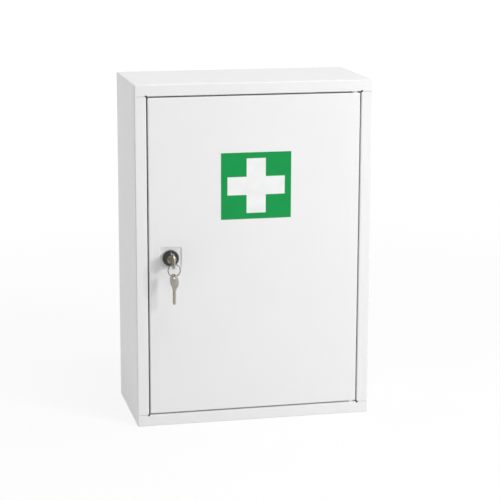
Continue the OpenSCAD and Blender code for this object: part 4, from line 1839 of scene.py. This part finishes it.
@dataclass(frozen=True)
class Lamp:
    """A soft lamp: its place, width, power in watts, height, and whether glossy surfaces mirror it."""

    name: str
    at: Position
    size: float
    power: float
    height: float | None = None
    glints: bool = True

    def add(self, target: Vector) -> None:
        """Adds the lamp to the scene.

        Args:
            target: The point that it shines at.
        """
        data = bpy.data.lights.new(self.name, "AREA")
        data.shape = "RECTANGLE"
        data.size = self.size
        data.size_y = self.height or self.size
        data.energy = self.power
        lamp = bpy.data.objects.new(self.name, data)
        lamp.visible_glossy = self.glints
        lamp.location = self.at
        lamp.rotation_euler = (target - Vector(self.at)).to_track_quat("-Z", "Y").to_euler()
        bpy.context.scene.collection.objects.link(lamp)


@dataclass
class Studio:
    """A pale floor, soft lamps and the camera."""

    camera_at: Position = (-0.494, -2.312, 0.492)
    camera_yaw: float = math.radians(12.73)
    camera_pitch: float = math.radians(-12.39)
    camera_roll: float = math.radians(0.16)
    lens: float = 122.4
    lamps: tuple[Lamp, ...] = (
        Lamp("key_lamp", (1.17, -1.57, 0.64), 0.5, 21.0, glints=False),
        Lamp("high_lamp", (0.1, -0.7, 1.85), 0.5, 8.0, height=0.25),
        Lamp("top_lamp", (0.3, 0.2, 2.0), 1.6, 10.0),
        Lamp("side_lamp", (-1.9, -1.4, -0.3), 0.5, 3.0),
        Lamp("rear_lamp", (-1.5, 2.2, 0.1), 1.2, 22.0, glints=False),
    )
    lamp_target: Position = (0.0, -0.1, 0.0)
    floor_size: float = 60.0
    floor_gap: float = 0.2 * MM
    floor_grey: float = 0.8
    floor_roughness: float = 0.9
    floor_glow: float = 1.04
    # The floor's glow is held back to glow_least out to glow_near, and is whole from glow_far on
    glow_least: float = 0.82
    glow_near: float = 0.4
    glow_far: float = 2.0
    ambient: float = 0.32

    def add_camera(self) -> None:
        """Adds the camera."""
        data = bpy.data.cameras.new("camera")
        data.lens = self.lens
        camera = bpy.data.objects.new("camera", data)
        camera.location = self.camera_at
        yaw = Matrix.Rotation(-self.camera_yaw, 3, "Z")
        pitch = Matrix.Rotation(QUARTER + self.camera_pitch, 3, "X")
        roll = Matrix.Rotation(self.camera_roll, 3, "Z")
        camera.rotation_euler = (yaw @ pitch @ roll).to_euler()
        bpy.context.scene.collection.objects.link(camera)
        bpy.context.scene.camera = camera

    def seen_or_mirrored(self, tree: bpy.types.NodeTree) -> Socket:
        """Tells the camera, mirror and glass rays from the ones that light the object.

        Args:
            tree: The node tree.

        Returns:
            1 for the rays that show a surface and 0 for the rest.
        """
        rays = add_node(tree, "LightPath", {}).outputs
        total = rays["Is Camera Ray"]
        for name in ("Is Glossy Ray", "Is Transmission Ray"):
            total = add_node(tree, "Math", {0: total, 1: rays[name]}, operation="MAXIMUM").outputs["Value"]
        return total

    def light_world(self) -> None:
        """Makes the surroundings: white where they are seen, and soft where they light."""
        world = bpy.data.worlds.new("white_surroundings")
        world.use_nodes = True
        tree = world.node_tree
        inputs = {"Value": self.seen_or_mirrored(tree), "To Min": self.ambient, "To Max": 1.0}
        strength = add_node(tree, "MapRange", inputs).outputs["Result"]
        background = tree.nodes["Background"]
        background.inputs["Color"].default_value = (1.0, 1.0, 1.0, 1.0)
        tree.links.new(strength, background.inputs["Strength"])
        bpy.context.scene.world = world

    def floor_material(self) -> bpy.types.Material:
        """Makes the floor's finish, white where it is seen apart from the object's faint shadow.

        Returns:
            The material.
        """
        shader = Shader("white_floor")
        tree = shader.tree
        shader.set(
            Base_Color=(self.floor_grey, self.floor_grey, self.floor_grey, 1.0),
            Roughness=self.floor_roughness,
            Specular_IOR_Level=0.0,
        )
        distance = add_node(tree, "VectorMath", {0: shader.place}, operation="LENGTH").outputs["Value"]
        share = shader.spread(distance, self.glow_least, 1.0, self.glow_near, self.glow_far)
        seen = shader.product(self.seen_or_mirrored(tree), share)
        glow = add_node(tree, "Emission", {"Strength": self.floor_glow}).outputs["Emission"]
        parts = {"Fac": seen, 1: shader.surface.outputs["BSDF"], 2: glow}
        mix = add_node(tree, "MixShader", parts).outputs["Shader"]
        tree.links.new(mix, tree.nodes["Material Output"].inputs["Surface"])
        return shader.material

    def lay_floor(self) -> None:
        """Lays the floor just under the cabinet."""
        bm = bmesh.new()
        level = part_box("case_wrap")[0].z - self.floor_gap
        bmesh.ops.create_grid(bm, x_segments=1, y_segments=1, size=self.floor_size / 2)
        bmesh.ops.translate(bm, vec=(0.0, 0.0, level), verts=bm.verts[:])
        mesh = bpy.data.meshes.new("floor")
        bm.to_mesh(mesh)
        bm.free()
        mesh.materials.append(self.floor_material())
        floor = bpy.data.objects.new("floor", mesh)
        bpy.context.scene.collection.objects.link(floor)

    def build(self) -> None:
        """Sets up the camera, the surroundings, the floor and the lamps."""
        self.add_camera()
        self.light_world()
        self.lay_floor()
        for lamp in self.lamps:
            lamp.add(Vector(self.lamp_target))
        bpy.context.scene.view_settings.view_transform = "Standard"


def main() -> None:
    """Builds the cabinet round its frame."""
    logging.basicConfig(level=logging.INFO, format="%(name)s: %(message)s")
    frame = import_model()
    Studio().build()
    Case().build()
    Shelves().build()
    Hinge().build()
    Door().build()
    dress_node(frame, "sign_field", GREEN_FILM)
    dress_node(frame, "sign_cross", WHITE_FILM)
    CamLock().build(frame)
    Keys().build()


if __name__ == "__main__":
    main()
